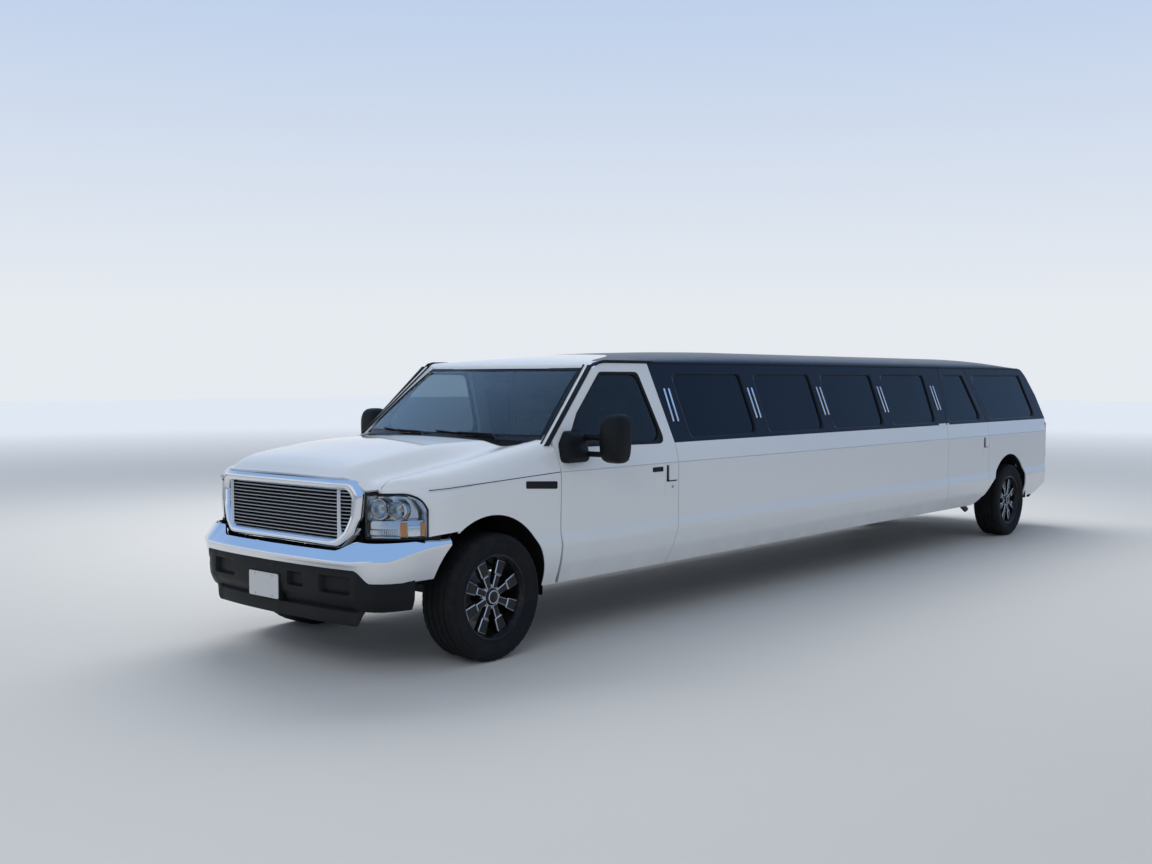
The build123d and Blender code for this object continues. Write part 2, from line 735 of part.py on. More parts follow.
def build_ladder_frame():
    """Two long rails joined by cross members."""
    z0, z1 = FRAME_Z
    y0, y1 = RAIL_Y
    frame = block(-4965, 4960, y0, y1, z0, z1) + block(-4965, 4960, -y1, -y0, z0, z1)
    for x in CROSS_MEMBERS:
        frame += block(x - 40, x + 40, -y0, y0, z0 + 15, z1 - 10)
    pin_y = SPRING_Y[1] + 8
    pins = [x + sign * (half - PIN_INSET) for x, half in SPRING_HALF.items() for sign in (-1, 1)]
    for x in pins:
        frame += rod_y(x, z0 + 20, PIN_RADIUS, y1, pin_y) + rod_y(x, z0 + 20, PIN_RADIUS, -pin_y, -y1)
    return frame


def build_floor():
    """Floor pan, narrowed between the rear wheels."""
    floor = block(-4960, 3630, -884, 884, FLOOR_Z, FLOOR_TOP)
    for side in (-1, 1):
        y0, y1 = sorted((side * 672, side * 900))
        floor -= block(REAR_AXLE_X - 560, REAR_AXLE_X + 560, y0, y1, 600, 700)
    return floor


def build_wheel_housing(x, radius, y0, y1, low):
    """Dark liner over one wheel on the left side."""
    shell = rod_y(x, 410, radius, y0, y1) - rod_y(x, 410, radius - 8, y0 + 8, y1 + 10)
    return shell - block(x - 700, x + 700, y0 - 10, y1 + 20, -200, low)


def build_axle_beam(x, end_y):
    """Axle tube with its differential housing."""
    tube = rod_y(x, TYRE_RADIUS, 46, -end_y, end_y)
    ball = Pos(x, 0, TYRE_RADIUS) * Sphere(140)
    return tube + ball


KINGPIN_Y = 758
KNUCKLE_RADIUS = 42
KINGPIN_HALF = 92
HUB_FACE_Y = WHEEL_Y - 50
FORK_Y = (618, 668, 800)


def build_front_axle():
    """Front axle beam with a fork at each end for the knuckle."""
    inner_y, plate_y, tip_y = FORK_Y
    beam = build_axle_beam(FRONT_AXLE_X, inner_y + 30)
    z = TYRE_RADIUS
    for side in (-1, 1):
        y0, y1 = sorted((side * inner_y, side * plate_y))
        beam += block(FRONT_AXLE_X - 45, FRONT_AXLE_X + 45, y0, y1, z - 118, z + 118)
        y0, y1 = sorted((side * inner_y, side * tip_y))
        for low, high in ((z - 118, z - 95), (z + 95, z + 118)):
            beam += block(FRONT_AXLE_X - 45, FRONT_AXLE_X + 45, y0, y1, low, high)
    return beam


def build_knuckle():
    """Left steering knuckle: kingpin, stub and steering arm."""
    z = TYRE_RADIUS
    body = rod_z(FRONT_AXLE_X, KINGPIN_Y, KNUCKLE_RADIUS, z - KINGPIN_HALF, z + KINGPIN_HALF)
    body += rod_y(FRONT_AXLE_X, z, 34, KINGPIN_Y, HUB_FACE_Y - 0.5)
    body += block(FRONT_AXLE_X - 170, FRONT_AXLE_X - 20, KINGPIN_Y - 38, KINGPIN_Y - 8, z - 62, z - 36)
    return body


def build_rear_axle():
    """Rear axle with hub flanges."""
    axle = build_axle_beam(REAR_AXLE_X, HUB_FACE_Y - 0.5)
    for side in (-1, 1):
        y0, y1 = sorted((side * 740, side * (HUB_FACE_Y - 0.5)))
        axle += rod_y(REAR_AXLE_X, TYRE_RADIUS, 60, y0, y1)
    return axle


def build_leaf_spring(x, side):
    """Arched leaf pack that joins the axle to the frame rail."""
    half = SPRING_HALF[x]
    y0, y1 = sorted((side * SPRING_Y[0], side * SPRING_Y[1]))
    centre_z = TYRE_RADIUS + 46
    end_z = FRAME_Z[0] - 2
    low = ThreePointArc((x - half, y0, end_z - 26), (x, y0, centre_z), (x + half, y0, end_z - 26))
    high = ThreePointArc((x + half, y0, end_z), (x, y0, centre_z + 40), (x - half, y0, end_z))
    face = make_face([low, Line(low @ 1, high @ 0), high, Line(high @ 1, low @ 0)])
    return extrude(face, amount=y1 - y0, dir=(0, 1, 0))


def wheel_profile(points, x, side):
    """Solid of revolution about a wheel's axle from (radius, outward) points."""
    rim_points = [(x, side * (WHEEL_Y + out), TYRE_RADIUS + radius) for radius, out in points]
    face = make_face(Polyline(*rim_points, close=True))
    return revolve(face, axis=Axis((x, 0, TYRE_RADIUS), (0, 1, 0)), revolution_arc=360)


TYRE_SECTION = [
    (258, -111), (267, -111), (300, -130), (350, -135), (385, -122), (TYRE_RADIUS, -95),
    (TYRE_RADIUS, 95), (385, 122), (350, 135), (300, 130), (267, 111), (258, 111),
]
RIM_SECTION = [
    (236, -118), (266, -118), (266, -112), (257, -112),
    (257, 112), (266, 112), (266, 120), (248, 120), (236, 90),
]
HUB_SECTION = [(0, -50), (62, -50), (62, 60), (52, 104), (0, 104)]
ROTOR_SECTION = [(40, -45), (165, -45), (165, -20), (40, -20)]
SPOKE_COUNT = 8
SPOKE_TURN = 22.5


def build_tyre(x, side):
    """Tyre with rounded shoulders."""
    return wheel_profile(TYRE_SECTION, x, side)


def build_rim(x, side):
    """Wheel with eight paddle spokes, hub and brake rotor."""
    rim = wheel_profile(RIM_SECTION, x, side) + wheel_profile(HUB_SECTION, x, side)
    rim += wheel_profile(ROTOR_SECTION, x, side)
    y0, y1 = sorted((side * (WHEEL_Y + 62), side * (WHEEL_Y + 92)))
    arm = [(-20, 45), (20, 45), (22, 150), (38, 160), (36, 239), (-36, 239), (-38, 160), (-22, 150)]
    for index in range(SPOKE_COUNT):
        angle = 360 / SPOKE_COUNT * index + SPOKE_TURN
        spoke = prism_y([(x + across, TYRE_RADIUS + along) for across, along in arm], y0, y1)
        rim += spoke.rotate(Axis((x, 0, TYRE_RADIUS), (0, 1, 0)), angle)
    return rim


def build_engine():
    """Engine block with its gearbox behind it."""
    engine = block(3690, 4620, -260, 260, 660, 1080)
    gearbox = block(2960, 3600, -150, 150, 420, 636)
    return engine + block(3590, 3800, -150, 150, 420, 636) + block(3690, 4620, -150, 150, 545, 670) + gearbox


def build_driveshaft():
    """Shaft in two lengths from the gearbox to the rear axle."""
    return rod_x(0, 440, 42, REAR_AXLE_X + 60, 2960) - build_rear_axle()


EXHAUST_ROUTE = [(3580, 240, 440), (-2780, 240, 440), (-3060, 480, 405), (-3270, 690, 390), (-3345, 735, 310)]
SILENCER_X = (-1200, -500)


def build_exhaust():
    """Exhaust pipe with its silencer, led out ahead of the left rear wheel."""
    pipe = rod_x(240, 440, 75, *SILENCER_X)
    for start, end in zip(EXHAUST_ROUTE, EXHAUST_ROUTE[1:]):
        run = Vector(*end) - Vector(*start)
        place = Plane(origin=Vector(*start) + run * 0.5, z_dir=run)
        pipe += place * Cylinder(30, run.length)
    for bend in EXHAUST_ROUTE[1:-1]:
        pipe += Pos(*bend) * Sphere(30)
    return pipe


def build_fuel_tank():
    """Fuel tank beside the left frame rail."""
    return round_prism_x([(450, 440), (860, 440), (860, 640), (450, 640)], 40, -1700, -700)


# Inside
def build_dashboard():
    """Dashboard across the cab."""
    outline = [(3598, 1265), (3300, 1240), (3180, 1180), (3200, 1080), (3330, 1000), (3598, 940)]
    return prism_y(outline, -840, 840)


def build_steering_wheel():
    """Steering wheel on its column."""
    hub = (3085, 400, 1195)
    tilt = 62
    ring = Torus(190, 16)
    spokes = Box(370, 36, 14) + Cylinder(50, 24)
    column = Pos(0, 0, -95) * Cylinder(26, 190)
    return Pos(*hub) * Rot(0, -tilt, 0) * (ring + spokes + column) - build_dashboard()


def build_seat(x, y):
    """Front seat with its back and head restraint."""
    profile = [
        (x + 260, 690), (x + 270, 1000), (x - 180, 960), (x - 330, 1460),
        (x - 420, 1450), (x - 290, 860), (x - 260, 690),
    ]
    rest = [(x - 320, 1455), (x - 330, 1620), (x - 420, 1610), (x - 420, 1450)]
    return prism_y(profile, y - 250, y + 250) + prism_y(rest, y - 130, y + 130)


def build_lounge():
    """Long bench down the right side and across the back."""
    side = [(-840, 690), (-380, 690), (-380, 1010), (-720, 1010), (-760, 1400), (-800, 1400)]
    back = [(-3000, 690), (-3000, 1010), (-3300, 1010), (-3380, 1420), (-3450, 1420), (-3450, 690)]
    return prism_x(side, -3000, 1700) + prism_y(back, -660, 660)


def build_bar():
    """Cabinet along the left side of the saloon."""
    return block(-2000, 1700, 560, 840, 690, 1120)


def build_partition():
    """Wall behind the front seats."""
    outline = both_halves([(870, 690), (880, 1135), (850, 1277), (760, 1840)])
    return prism_x(outline, from_axle(2010), from_axle(1980))


def build_mirror():
    """Left door mirror: foot, two arms and a tall head."""
    foot = prism_y([(3585, 1185), (3600, 1300), (3520, 1400), (3380, 1400), (3390, 1185)], 930, 1060)
    foot -= side_band(0, 300, 3000, 3700)
    arms = block(3330, 3390, 1000, 1180, 1330, 1370) + block(3330, 3390, 1010, 1180, 1225, 1262)
    head = round_prism_x([(1130, 1185), (1330, 1185), (1330, 1512), (1130, 1512)], 35, 3270, 3400)
    return foot + arms + head


def build_rear_bumper():
    """Bright rear step bumper with a shallow seat for its number plate."""
    left = [(-HALF_LENGTH, 0), (-5158, 600), (-5120, 850), (-5050, 945), (TAIL_X - 2, 945)]
    right = [(x, -y) for x, y in left[:0:-1]]
    seat_x = -HALF_LENGTH + PLATE_THICK
    seat = block(-HALF_LENGTH - 1, seat_x, -156, 156, REAR_PLATE_Z - 80, REAR_PLATE_Z + 80)
    return prism_z(left + right, 480, 700) - seat


def build_tail_lamp():
    """Upright lamp wrapped round the left tail corner."""
    space = block(TAIL_X - 14, TAIL_X + 75, 805, 1010, 800, 1240)
    face = (Pos(-14, 0, 0) * tail_plan()) - tail_plan()
    return space & face & inside_side()


def inside_side():
    """Everything inside the left side's outer skin at the tail."""
    skin = skin_line(-8, TAIL_X - 200)
    low, high = skin @ 0, skin @ 1
    rest = Polyline(high, (high.X, 0, high.Z), (low.X, 0, low.Z), low)
    return extrude(make_face([skin, rest]), amount=400, dir=(1, 0, 0))


# Write every node
lower_wall, upper_wall = build_side_walls()
front_door = door_shell(FRONT_DOOR, FRONT_WINDOW)
rear_door = door_shell(REAR_DOOR, REAR_WINDOW)
fixed_glass = build_side_glass()
fender = build_fender()
screen_pillar = build_screen_frame()
headlamp = build_headlamp()
tail_lamp = build_tail_lamp()
front_liner = build_wheel_housing(FRONT_AXLE_X + 15, 512, 505, 940, 640)
rear_liner = build_wheel_housing(REAR_ARCH[0], 520, 672, 912, 560)

save("ladder_frame", build_ladder_frame())
save("floor_pan", build_floor())
save("engine_block", build_engine())
save("driveshaft", build_driveshaft())
save("exhaust_pipe", build_exhaust())
save("fuel_tank", build_fuel_tank())
save("front_axle", build_front_axle())
save("rear_axle", build_rear_axle())
save("leaf_springs", *[build_leaf_spring(x, side) for x in (FRONT_AXLE_X, REAR_AXLE_X) for side in (-1, 1)])
save("wheel_housings", front_liner, other_side(front_liner), rear_liner, other_side(rear_liner))
save("front_fenders", fender, other_side(fender))
save("hood", build_hood())
save("grille", build_grille())
save("headlamps", headlamp, other_side(headlamp))
save("front_bumper", build_front_bumper())
save("air_dam", build_air_dam())
front_plate = Pos(0, PLATE_Y, 0) * build_plate(PLATE_FACE_X, PLATE_Z)
save("number_plates", front_plate, build_plate(-HALF_LENGTH, REAR_PLATE_Z))
save("cowl_panel", build_cowl())
save("windscreen", build_windscreen())
save("screen_pillars", screen_pillar, other_side(screen_pillar))
save("roof_panel", build_roof())
save("tail_frame", build_tail_frame())
save("rear_bumper", build_rear_bumper())
save("tail_lamps", tail_lamp, other_side(tail_lamp))
save("lift_glass", build_lift_glass())
save("dashboard", build_dashboard())
save("steering_wheel", build_steering_wheel())
save("front_seats", build_seat(2700, 400), build_seat(2700, -400))
save("lounge_seats", build_lounge())
save("bar_cabinet", build_bar())
save("partition", build_partition())
save("lower_walls", lower_wall, other_side(lower_wall))
save("upper_walls", upper_wall, other_side(upper_wall))
save("side_glass", *fixed_glass, *[other_side(pane) for pane in fixed_glass])

knuckle = build_knuckle()
cargo_door = build_cargo_door()
front_glass = glass_in(FRONT_WINDOW)
rear_glass = glass_in(REAR_WINDOW)
mirror_left = build_mirror()
for side_name, place in (("left", lambda shape: shape), ("right", other_side)):
    save(f"front_door_{side_name}", place(front_door))
    save(f"front_door_glass_{side_name}", place(front_glass))
    save(f"mirror_{side_name}", place(mirror_left))
    save(f"rear_door_{side_name}", place(rear_door))
    save(f"rear_door_glass_{side_name}", place(rear_glass))
    save(f"cargo_door_{side_name}", place(cargo_door))
    save(f"knuckle_{side_name}", place(knuckle))

for corner, x, side in (
    ("front_left", FRONT_AXLE_X, 1),
    ("front_right", FRONT_AXLE_X, -1),
    ("rear_left", REAR_AXLE_X, 1),
    ("rear_right", REAR_AXLE_X, -1),
):
    save(f"tyre_{corner}", build_tyre(x, side))
    save(f"rim_{corner}", build_rim(x, side))
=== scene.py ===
import bpy
import bmesh
import json
import math
from mathutils import Matrix, Vector


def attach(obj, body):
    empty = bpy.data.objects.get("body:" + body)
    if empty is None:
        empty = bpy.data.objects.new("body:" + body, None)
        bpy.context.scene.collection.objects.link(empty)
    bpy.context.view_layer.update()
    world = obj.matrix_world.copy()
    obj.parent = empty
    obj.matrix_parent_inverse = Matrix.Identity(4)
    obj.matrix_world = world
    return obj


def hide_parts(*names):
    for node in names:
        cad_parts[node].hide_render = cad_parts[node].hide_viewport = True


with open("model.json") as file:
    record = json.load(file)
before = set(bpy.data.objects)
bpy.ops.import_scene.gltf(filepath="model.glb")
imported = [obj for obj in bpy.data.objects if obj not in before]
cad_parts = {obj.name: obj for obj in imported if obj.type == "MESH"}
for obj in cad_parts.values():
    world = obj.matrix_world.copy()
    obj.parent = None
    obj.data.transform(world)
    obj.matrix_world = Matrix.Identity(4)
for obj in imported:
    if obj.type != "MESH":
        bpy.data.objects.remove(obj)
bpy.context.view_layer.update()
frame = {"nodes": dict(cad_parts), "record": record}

# Camera, fitted to the photograph's 1152 x 864 frame
CAMERA_AT = (9.448, 6.247, 1.733)
CAMERA_HEADING = (-0.7519, -0.6579, -0.0429)
LENS_MM = 37.93
SENSOR_MM = 36.0

# Places shared with the part's source, in metres
FRONT_AXLE_X = 4.190
REAR_AXLE_X = -3.914
WHEEL_Y = 0.868
TYRE_RADIUS = 0.396
BELT_Z = 1.277
TAIL_X = FRONT_AXLE_X - 9.220
FLOOR_Z = 0.690
SIDES = ((1, "left"), (-1, "right"))
# Half width of the fenders, as (height, Y)
SKIN = [
    (0.405, 0.944), (0.530, 0.986), (0.664, 1.008), (0.742, 0.996), (0.950, 0.999), (1.135, 0.998),
    (1.277, 0.971), (1.858, 0.866)
]
# Front end, as (X, height in the middle, height of the wing, depth of the rounded shoulder)
NOSE = [
    (5.060, 1.160, 1.060, 0.165),
    (5.000, 1.205, 1.110, 0.165),
    (4.900, 1.252, 1.146, 0.165),
    (4.700, 1.290, 1.177, 0.160),
    (4.360, 1.331, 1.227, 0.150),
    (4.010, 1.347, 1.289, 0.135),
    (3.596, 1.355, 1.354, 0.112),
]
# Front face in plan, as (Y, X)
FRONT_PLAN = [
    (0.0, 5.052), (0.3, 5.050), (0.52, 5.042), (0.69, 4.998), (0.80, 4.950),
    (0.89, 4.880), (0.95, 4.790), (0.985, 4.660), (1.0, 4.5),
]


def from_axle(s):
    """X of a place s metres behind the front axle."""
    return FRONT_AXLE_X - s


# Curves
def smooth(rows, t, column=1):
    """Value of a smooth curve through the rows, whose first column is sorted."""
    if rows[0][0] > rows[-1][0]:
        rows = rows[::-1]
    t = min(max(t, rows[0][0]), rows[-1][0])
    k = max(i for i in range(len(rows) - 1) if rows[i][0] <= t)

    def slope(i):
        low, high = max(i - 1, 0), min(i + 1, len(rows) - 1)
        return (rows[high][column] - rows[low][column]) / (rows[high][0] - rows[low][0])

    span = rows[k + 1][0] - rows[k][0]
    u = (t - rows[k][0]) / span
    a, b = rows[k][column], rows[k + 1][column]
    m0, m1 = slope(k) * span, slope(k + 1) * span
    return (2*u**3 - 3*u**2 + 1) * a + (u**3 - 2*u**2 + u) * m0 + (3*u**2 - 2*u**3) * b + (u**3 - u**2) * m1


def linear(rows, t):
    """Value of straight runs through rows of two numbers."""
    if rows[0][0] > rows[-1][0]:
        rows = rows[::-1]
    t = min(max(t, rows[0][0]), rows[-1][0])
    k = max(i for i in range(len(rows) - 1) if rows[i][0] <= t)
    u = (t - rows[k][0]) / (rows[k + 1][0] - rows[k][0])
    return rows[k][1] * (1 - u) + rows[k + 1][1] * u


def ease(u):
    """Smooth step from 0 to 1."""
    u = min(max(u, 0), 1)
    return u * u * (3 - 2 * u)


def span(a, b, count):
    """Evenly spaced numbers from a to b."""
    return [a + (b - a) * i / (count - 1) for i in range(count)]


def rounded(points, radius, steps=5):
    """Closed outline with its corners rounded."""
    out = []
    count = len(points)
    for i in range(count):
        p = Vector(points[i])
        before = Vector(points[i - 1]) - p
        after = Vector(points[(i + 1) % count]) - p
        angle = before.angle(after)
        reach = min(radius / math.tan(angle / 2), before.length * 0.48, after.length * 0.48)
        a = p + before.normalized() * reach
        b = p + after.normalized() * reach
        for k in range(steps + 1):
            u = k / steps
            out.append(tuple((1 - u)**2 * a + 2 * u * (1 - u) * p + u**2 * b))
    return out


def flat_rounded(outline, radius, steps=4):
    """Flat outline of pairs with its corners rounded."""
    return [p[:2] for p in rounded([(a, b, 0) for a, b in outline], radius, steps)]


def spaced(points, count, closed=True):
    """Points set evenly along a line of straight runs."""
    pts = [Vector(p) for p in points]
    if closed:
        pts.append(pts[0])
    lengths = [0]
    for a, b in zip(pts, pts[1:]):
        lengths.append(lengths[-1] + (b - a).length)
    out = []
    k = 0
    for i in range(count):
        at = lengths[-1] * i / (count if closed else count - 1)
        while k < len(pts) - 2 and lengths[k + 1] < at:
            k += 1
        run = lengths[k + 1] - lengths[k]
        out.append(pts[k].lerp(pts[k + 1], (at - lengths[k]) / run if run else 0))
    return out


# Meshes
class Shape:
    """Points and faces of one piece while it is being made."""

    def __init__(self):
        self.verts = []
        self.faces = []
        self.mats = []

    def add(self, verts, faces, mat=0, place=None):
        """Adds points and faces, moved to their place."""
        base = len(self.verts)
        place = place or Matrix()
        self.verts += [place @ Vector(v) for v in verts]
        self.faces += [[base + i for i in face] for face in faces]
        self.mats += [mat] * len(faces)
        return self

    def face(self, points, mat=0, place=None, back=False):
        """One flat face, turned the other way by back."""
        order = list(range(len(points)))
        return self.add(points, [order[::-1] if back else order], mat, place)

    def rows(self, rows, mat=0, closed=False, ends=False, place=None):
        """Skin over rows of points; closed joins each row's ends, ends caps the first and last row."""
        width = len(rows[0])
        verts = [p for row in rows for p in row]
        faces = []
        for r in range(len(rows) - 1):
            for c in range(width if closed else width - 1):
                d = (c + 1) % width
                faces.append([r * width + c, r * width + d, (r + 1) * width + d, (r + 1) * width + c])
        if ends:
            faces.append(list(range(width))[::-1])
            faces.append([(len(rows) - 1) * width + c for c in range(width)])
        return self.add(verts, faces, mat, place)

    def prism(self, outline, run, mat=0, place=None):
        """Outline of 3D points carried along run."""
        run = Vector(run)
        top = [Vector(p) + run for p in outline]
        return self.rows([outline, top], mat, closed=True, ends=True, place=place)

    def chamfered(self, outline, run, edge, mat=0, edge_mat=None, place=None):
        """Prism whose far face is drawn in, with a bevel that may have its own material."""
        run = Vector(run)
        up = run.normalized()
        inner = inset(outline, edge, up)
        base = [Vector(p) for p in outline]
        side = [p + run - up * edge for p in base]
        face = [p + run for p in inner]
        self.rows([base, side], mat, closed=True, ends=False, place=place)
        self.rows([side, face], mat if edge_mat is None else edge_mat, closed=True, place=place)
        self.face(face, mat, place)
        self.face(base, mat, place, back=True)
        return self

    def tube(self, path, radius, sides=10, mat=0, closed=False, place=None):
        """Round tube along a path; radius may be a list."""
        path = [Vector(p) for p in path]
        count = len(path)
        rows = []
        normal = None
        for i, p in enumerate(path):
            if closed:
                along = path[(i + 1) % count] - path[i - 1]
            else:
                along = path[min(i + 1, count - 1)] - path[max(i - 1, 0)]
            along.normalize()
            if normal is None:
                normal = along.orthogonal().normalized()
            normal = (normal - along * normal.dot(along)).normalized()
            side = along.cross(normal)
            r = radius[i] if isinstance(radius, (list, tuple)) else radius
            rows.append([p + (normal * math.cos(a) + side * math.sin(a)) * r for a in turn(sides)])
        if closed:
            rows.append(rows[0])
        return self.rows(rows, mat, closed=True, ends=not closed, place=place)

    def lathe(self, profile, steps, mat=0, place=None, axis="x"):
        """Profile of (along, radius) turned about an axis."""
        rows = []
        for along, r in profile:
            ring = []
            for a in turn(steps):
                u, v = math.cos(a) * r, math.sin(a) * r
                ring.append({"x": (along, u, v), "y": (v, along, u), "z": (u, v, along)}[axis])
            rows.append(ring)
        return self.rows(rows, mat, closed=True, place=place)

    def block(self, low, high, edge=0.004, mat=0, place=None):
        """Box with rounded edges."""
        mesh = bmesh.new()
        bmesh.ops.create_cube(mesh, size=1)
        low, high = Vector(low), Vector(high)
        for v in mesh.verts:
            v.co = Vector([low[i] + (v.co[i] + 0.5) * (high[i] - low[i]) for i in range(3)])
        bmesh.ops.bevel(mesh, geom=mesh.edges[:], offset=edge, segments=2, profile=0.5, affect="EDGES")
        mesh.verts.index_update()
        verts = [v.co.copy() for v in mesh.verts]
        faces = [[v.index for v in f.verts] for f in mesh.faces]
        mesh.free()
        return self.add(verts, faces, mat, place)

    def both(self):
        """Adds the same shape on the other side of the vehicle."""
        count = len(self.verts)
        self.verts += [Vector((v.x, -v.y, v.z)) for v in self.verts]
        self.faces += [[count + i for i in face[::-1]] for face in self.faces[:]]
        self.mats += self.mats[:]
        return self

    def flipped(self, side):
        """The shape itself for side 1, its mirror image for side -1."""
        if side < 0:
            self.verts = [Vector((v.x, -v.y, v.z)) for v in self.verts]
            self.faces = [face[::-1] for face in self.faces]
        return self


def turn(steps):
    """Angles once round a circle."""
    return [2 * math.pi * i / steps for i in range(steps)]


def inset(outline, edge, up):
    """Flat outline moved inwards by edge."""
    points = [Vector(p) for p in outline]
    count = len(points)
    middle = sum(points, Vector()) / count
    out = []
    for i, p in enumerate(points):
        a = (p - points[i - 1]).normalized()
        b = (points[(i + 1) % count] - p).normalized()
        na, nb = up.cross(a), up.cross(b)
        if na.dot(middle - p) + nb.dot(middle - p) < 0:
            na, nb = -na, -nb
        n = na + nb
        if n.length < 1e-6:
            n = na
        n.normalize()
        out.append(p + n * edge / max(n.dot(na), 0.4))
    return out


def make_object(name, shape, looks, sharp=32):
    """Blender object from a shape and its looks' short names; edges sharper than an angle stay crisp."""
    mesh = bpy.data.meshes.new(name)
    mesh.from_pydata([tuple(v) for v in shape.verts], [], shape.faces)
    for key in looks:
        mesh.materials.append(M[key])
    mesh.polygons.foreach_set("material_index", shape.mats)
    obj = bpy.data.objects.new(name, mesh)
    bpy.context.scene.collection.objects.link(obj)
    settle(obj, sharp)
    return obj


def settle(obj, sharp=32):
    """Welds doubled points, makes faces look outward and marks the crisp edges."""
    work = bmesh.new()
    work.from_mesh(obj.data)
    bmesh.ops.remove_doubles(work, verts=work.verts[:], dist=0.00005)
    bmesh.ops.dissolve_degenerate(work, edges=work.edges[:], dist=0.00002)
    bmesh.ops.recalc_face_normals(work, faces=work.faces[:])
    for face in work.faces:
        face.smooth = True
    for edge in work.edges:
        edge.smooth = not (len(edge.link_faces) == 2 and edge.calc_face_angle(0) > math.radians(sharp))
    work.to_mesh(obj.data)
    work.free()


def modify(obj, kind, **settings):
    """Adds a modifier and applies it."""
    mod = obj.modifiers.new(kind, kind)
    for key, value in settings.items():
        setattr(mod, key, value)
    graph = bpy.context.evaluated_depsgraph_get()
    mesh = bpy.data.meshes.new_from_object(obj.evaluated_get(graph))
    obj.modifiers.clear()
    old = obj.data
    obj.data = mesh
    bpy.data.meshes.remove(old)


def cut(obj, shape, sharp=32):
    """Takes a shape away from an object."""
    tool = make_object("tool", shape, [])
    modify(obj, "BOOLEAN", operation="DIFFERENCE", object=tool, solver="EXACT")
    bpy.data.objects.remove(tool)
    settle(obj, sharp)


def seat_on(obj, body, slot, *nodes):
    """Rides on a body and stands for the nodes; slot is not used."""
    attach(obj, body)
    if nodes:
        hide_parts(*nodes)


def piece(name, shape, looks, body="body", slot="black_plastic", nodes=(), sharp=32):
    """One finished piece."""
    seat_on(make_object(name, shape, looks, sharp), body, slot, *nodes)


# Materials
class Nodes:
    """One node tree, with short ways to add nodes to it."""

    def __init__(self, tree, coordinates):
        self.tree = tree
        self.coords = self.node("ShaderNodeTexCoord").outputs[coordinates]

    def node(self, kind, **settings):
        """New node with its settings."""
        new = self.tree.nodes.new(kind)
        for key, value in settings.items():
            setattr(new, key, value)
        return new

    def link(self, a, b):
        self.tree.links.new(a, b)

    def axis(self, name):
        """One of the coordinates."""
        split = self.node("ShaderNodeSeparateXYZ")
        self.link(self.coords, split.inputs["Vector"])
        return split.outputs[name]

    def scaled(self, value, low, high, from_low=0.0, from_high=1.0):
        """Value moved to a new range, held at its ends."""
        move = self.node("ShaderNodeMapRange")
        for key, number in (
            ("From Min", from_low), ("From Max", from_high), ("To Min", low), ("To Max", high)
        ):
            move.inputs[key].default_value = number
        self.link(value, move.inputs["Value"])
        return move.outputs["Result"]

    def joined(self, a, b, operation="MULTIPLY"):
        """Two values, multiplied unless another operation is named."""
        both = self.node("ShaderNodeMath", operation=operation)
        self.link(a, both.inputs[0])
        self.link(b, both.inputs[1])
        return both.outputs["Value"]

    def blended(self, factor, color, other):
        """Blend of a colour, or of a socket that gives one, with another colour."""
        mix = self.node("ShaderNodeMix", data_type="RGBA")
        if isinstance(color, bpy.types.NodeSocket):
            self.link(color, mix.inputs["A"])
        else:
            mix.inputs["A"].default_value = color
        mix.inputs["B"].default_value = (*other, 1)
        self.link(factor, mix.inputs["Factor"])
        return mix.outputs["Result"]


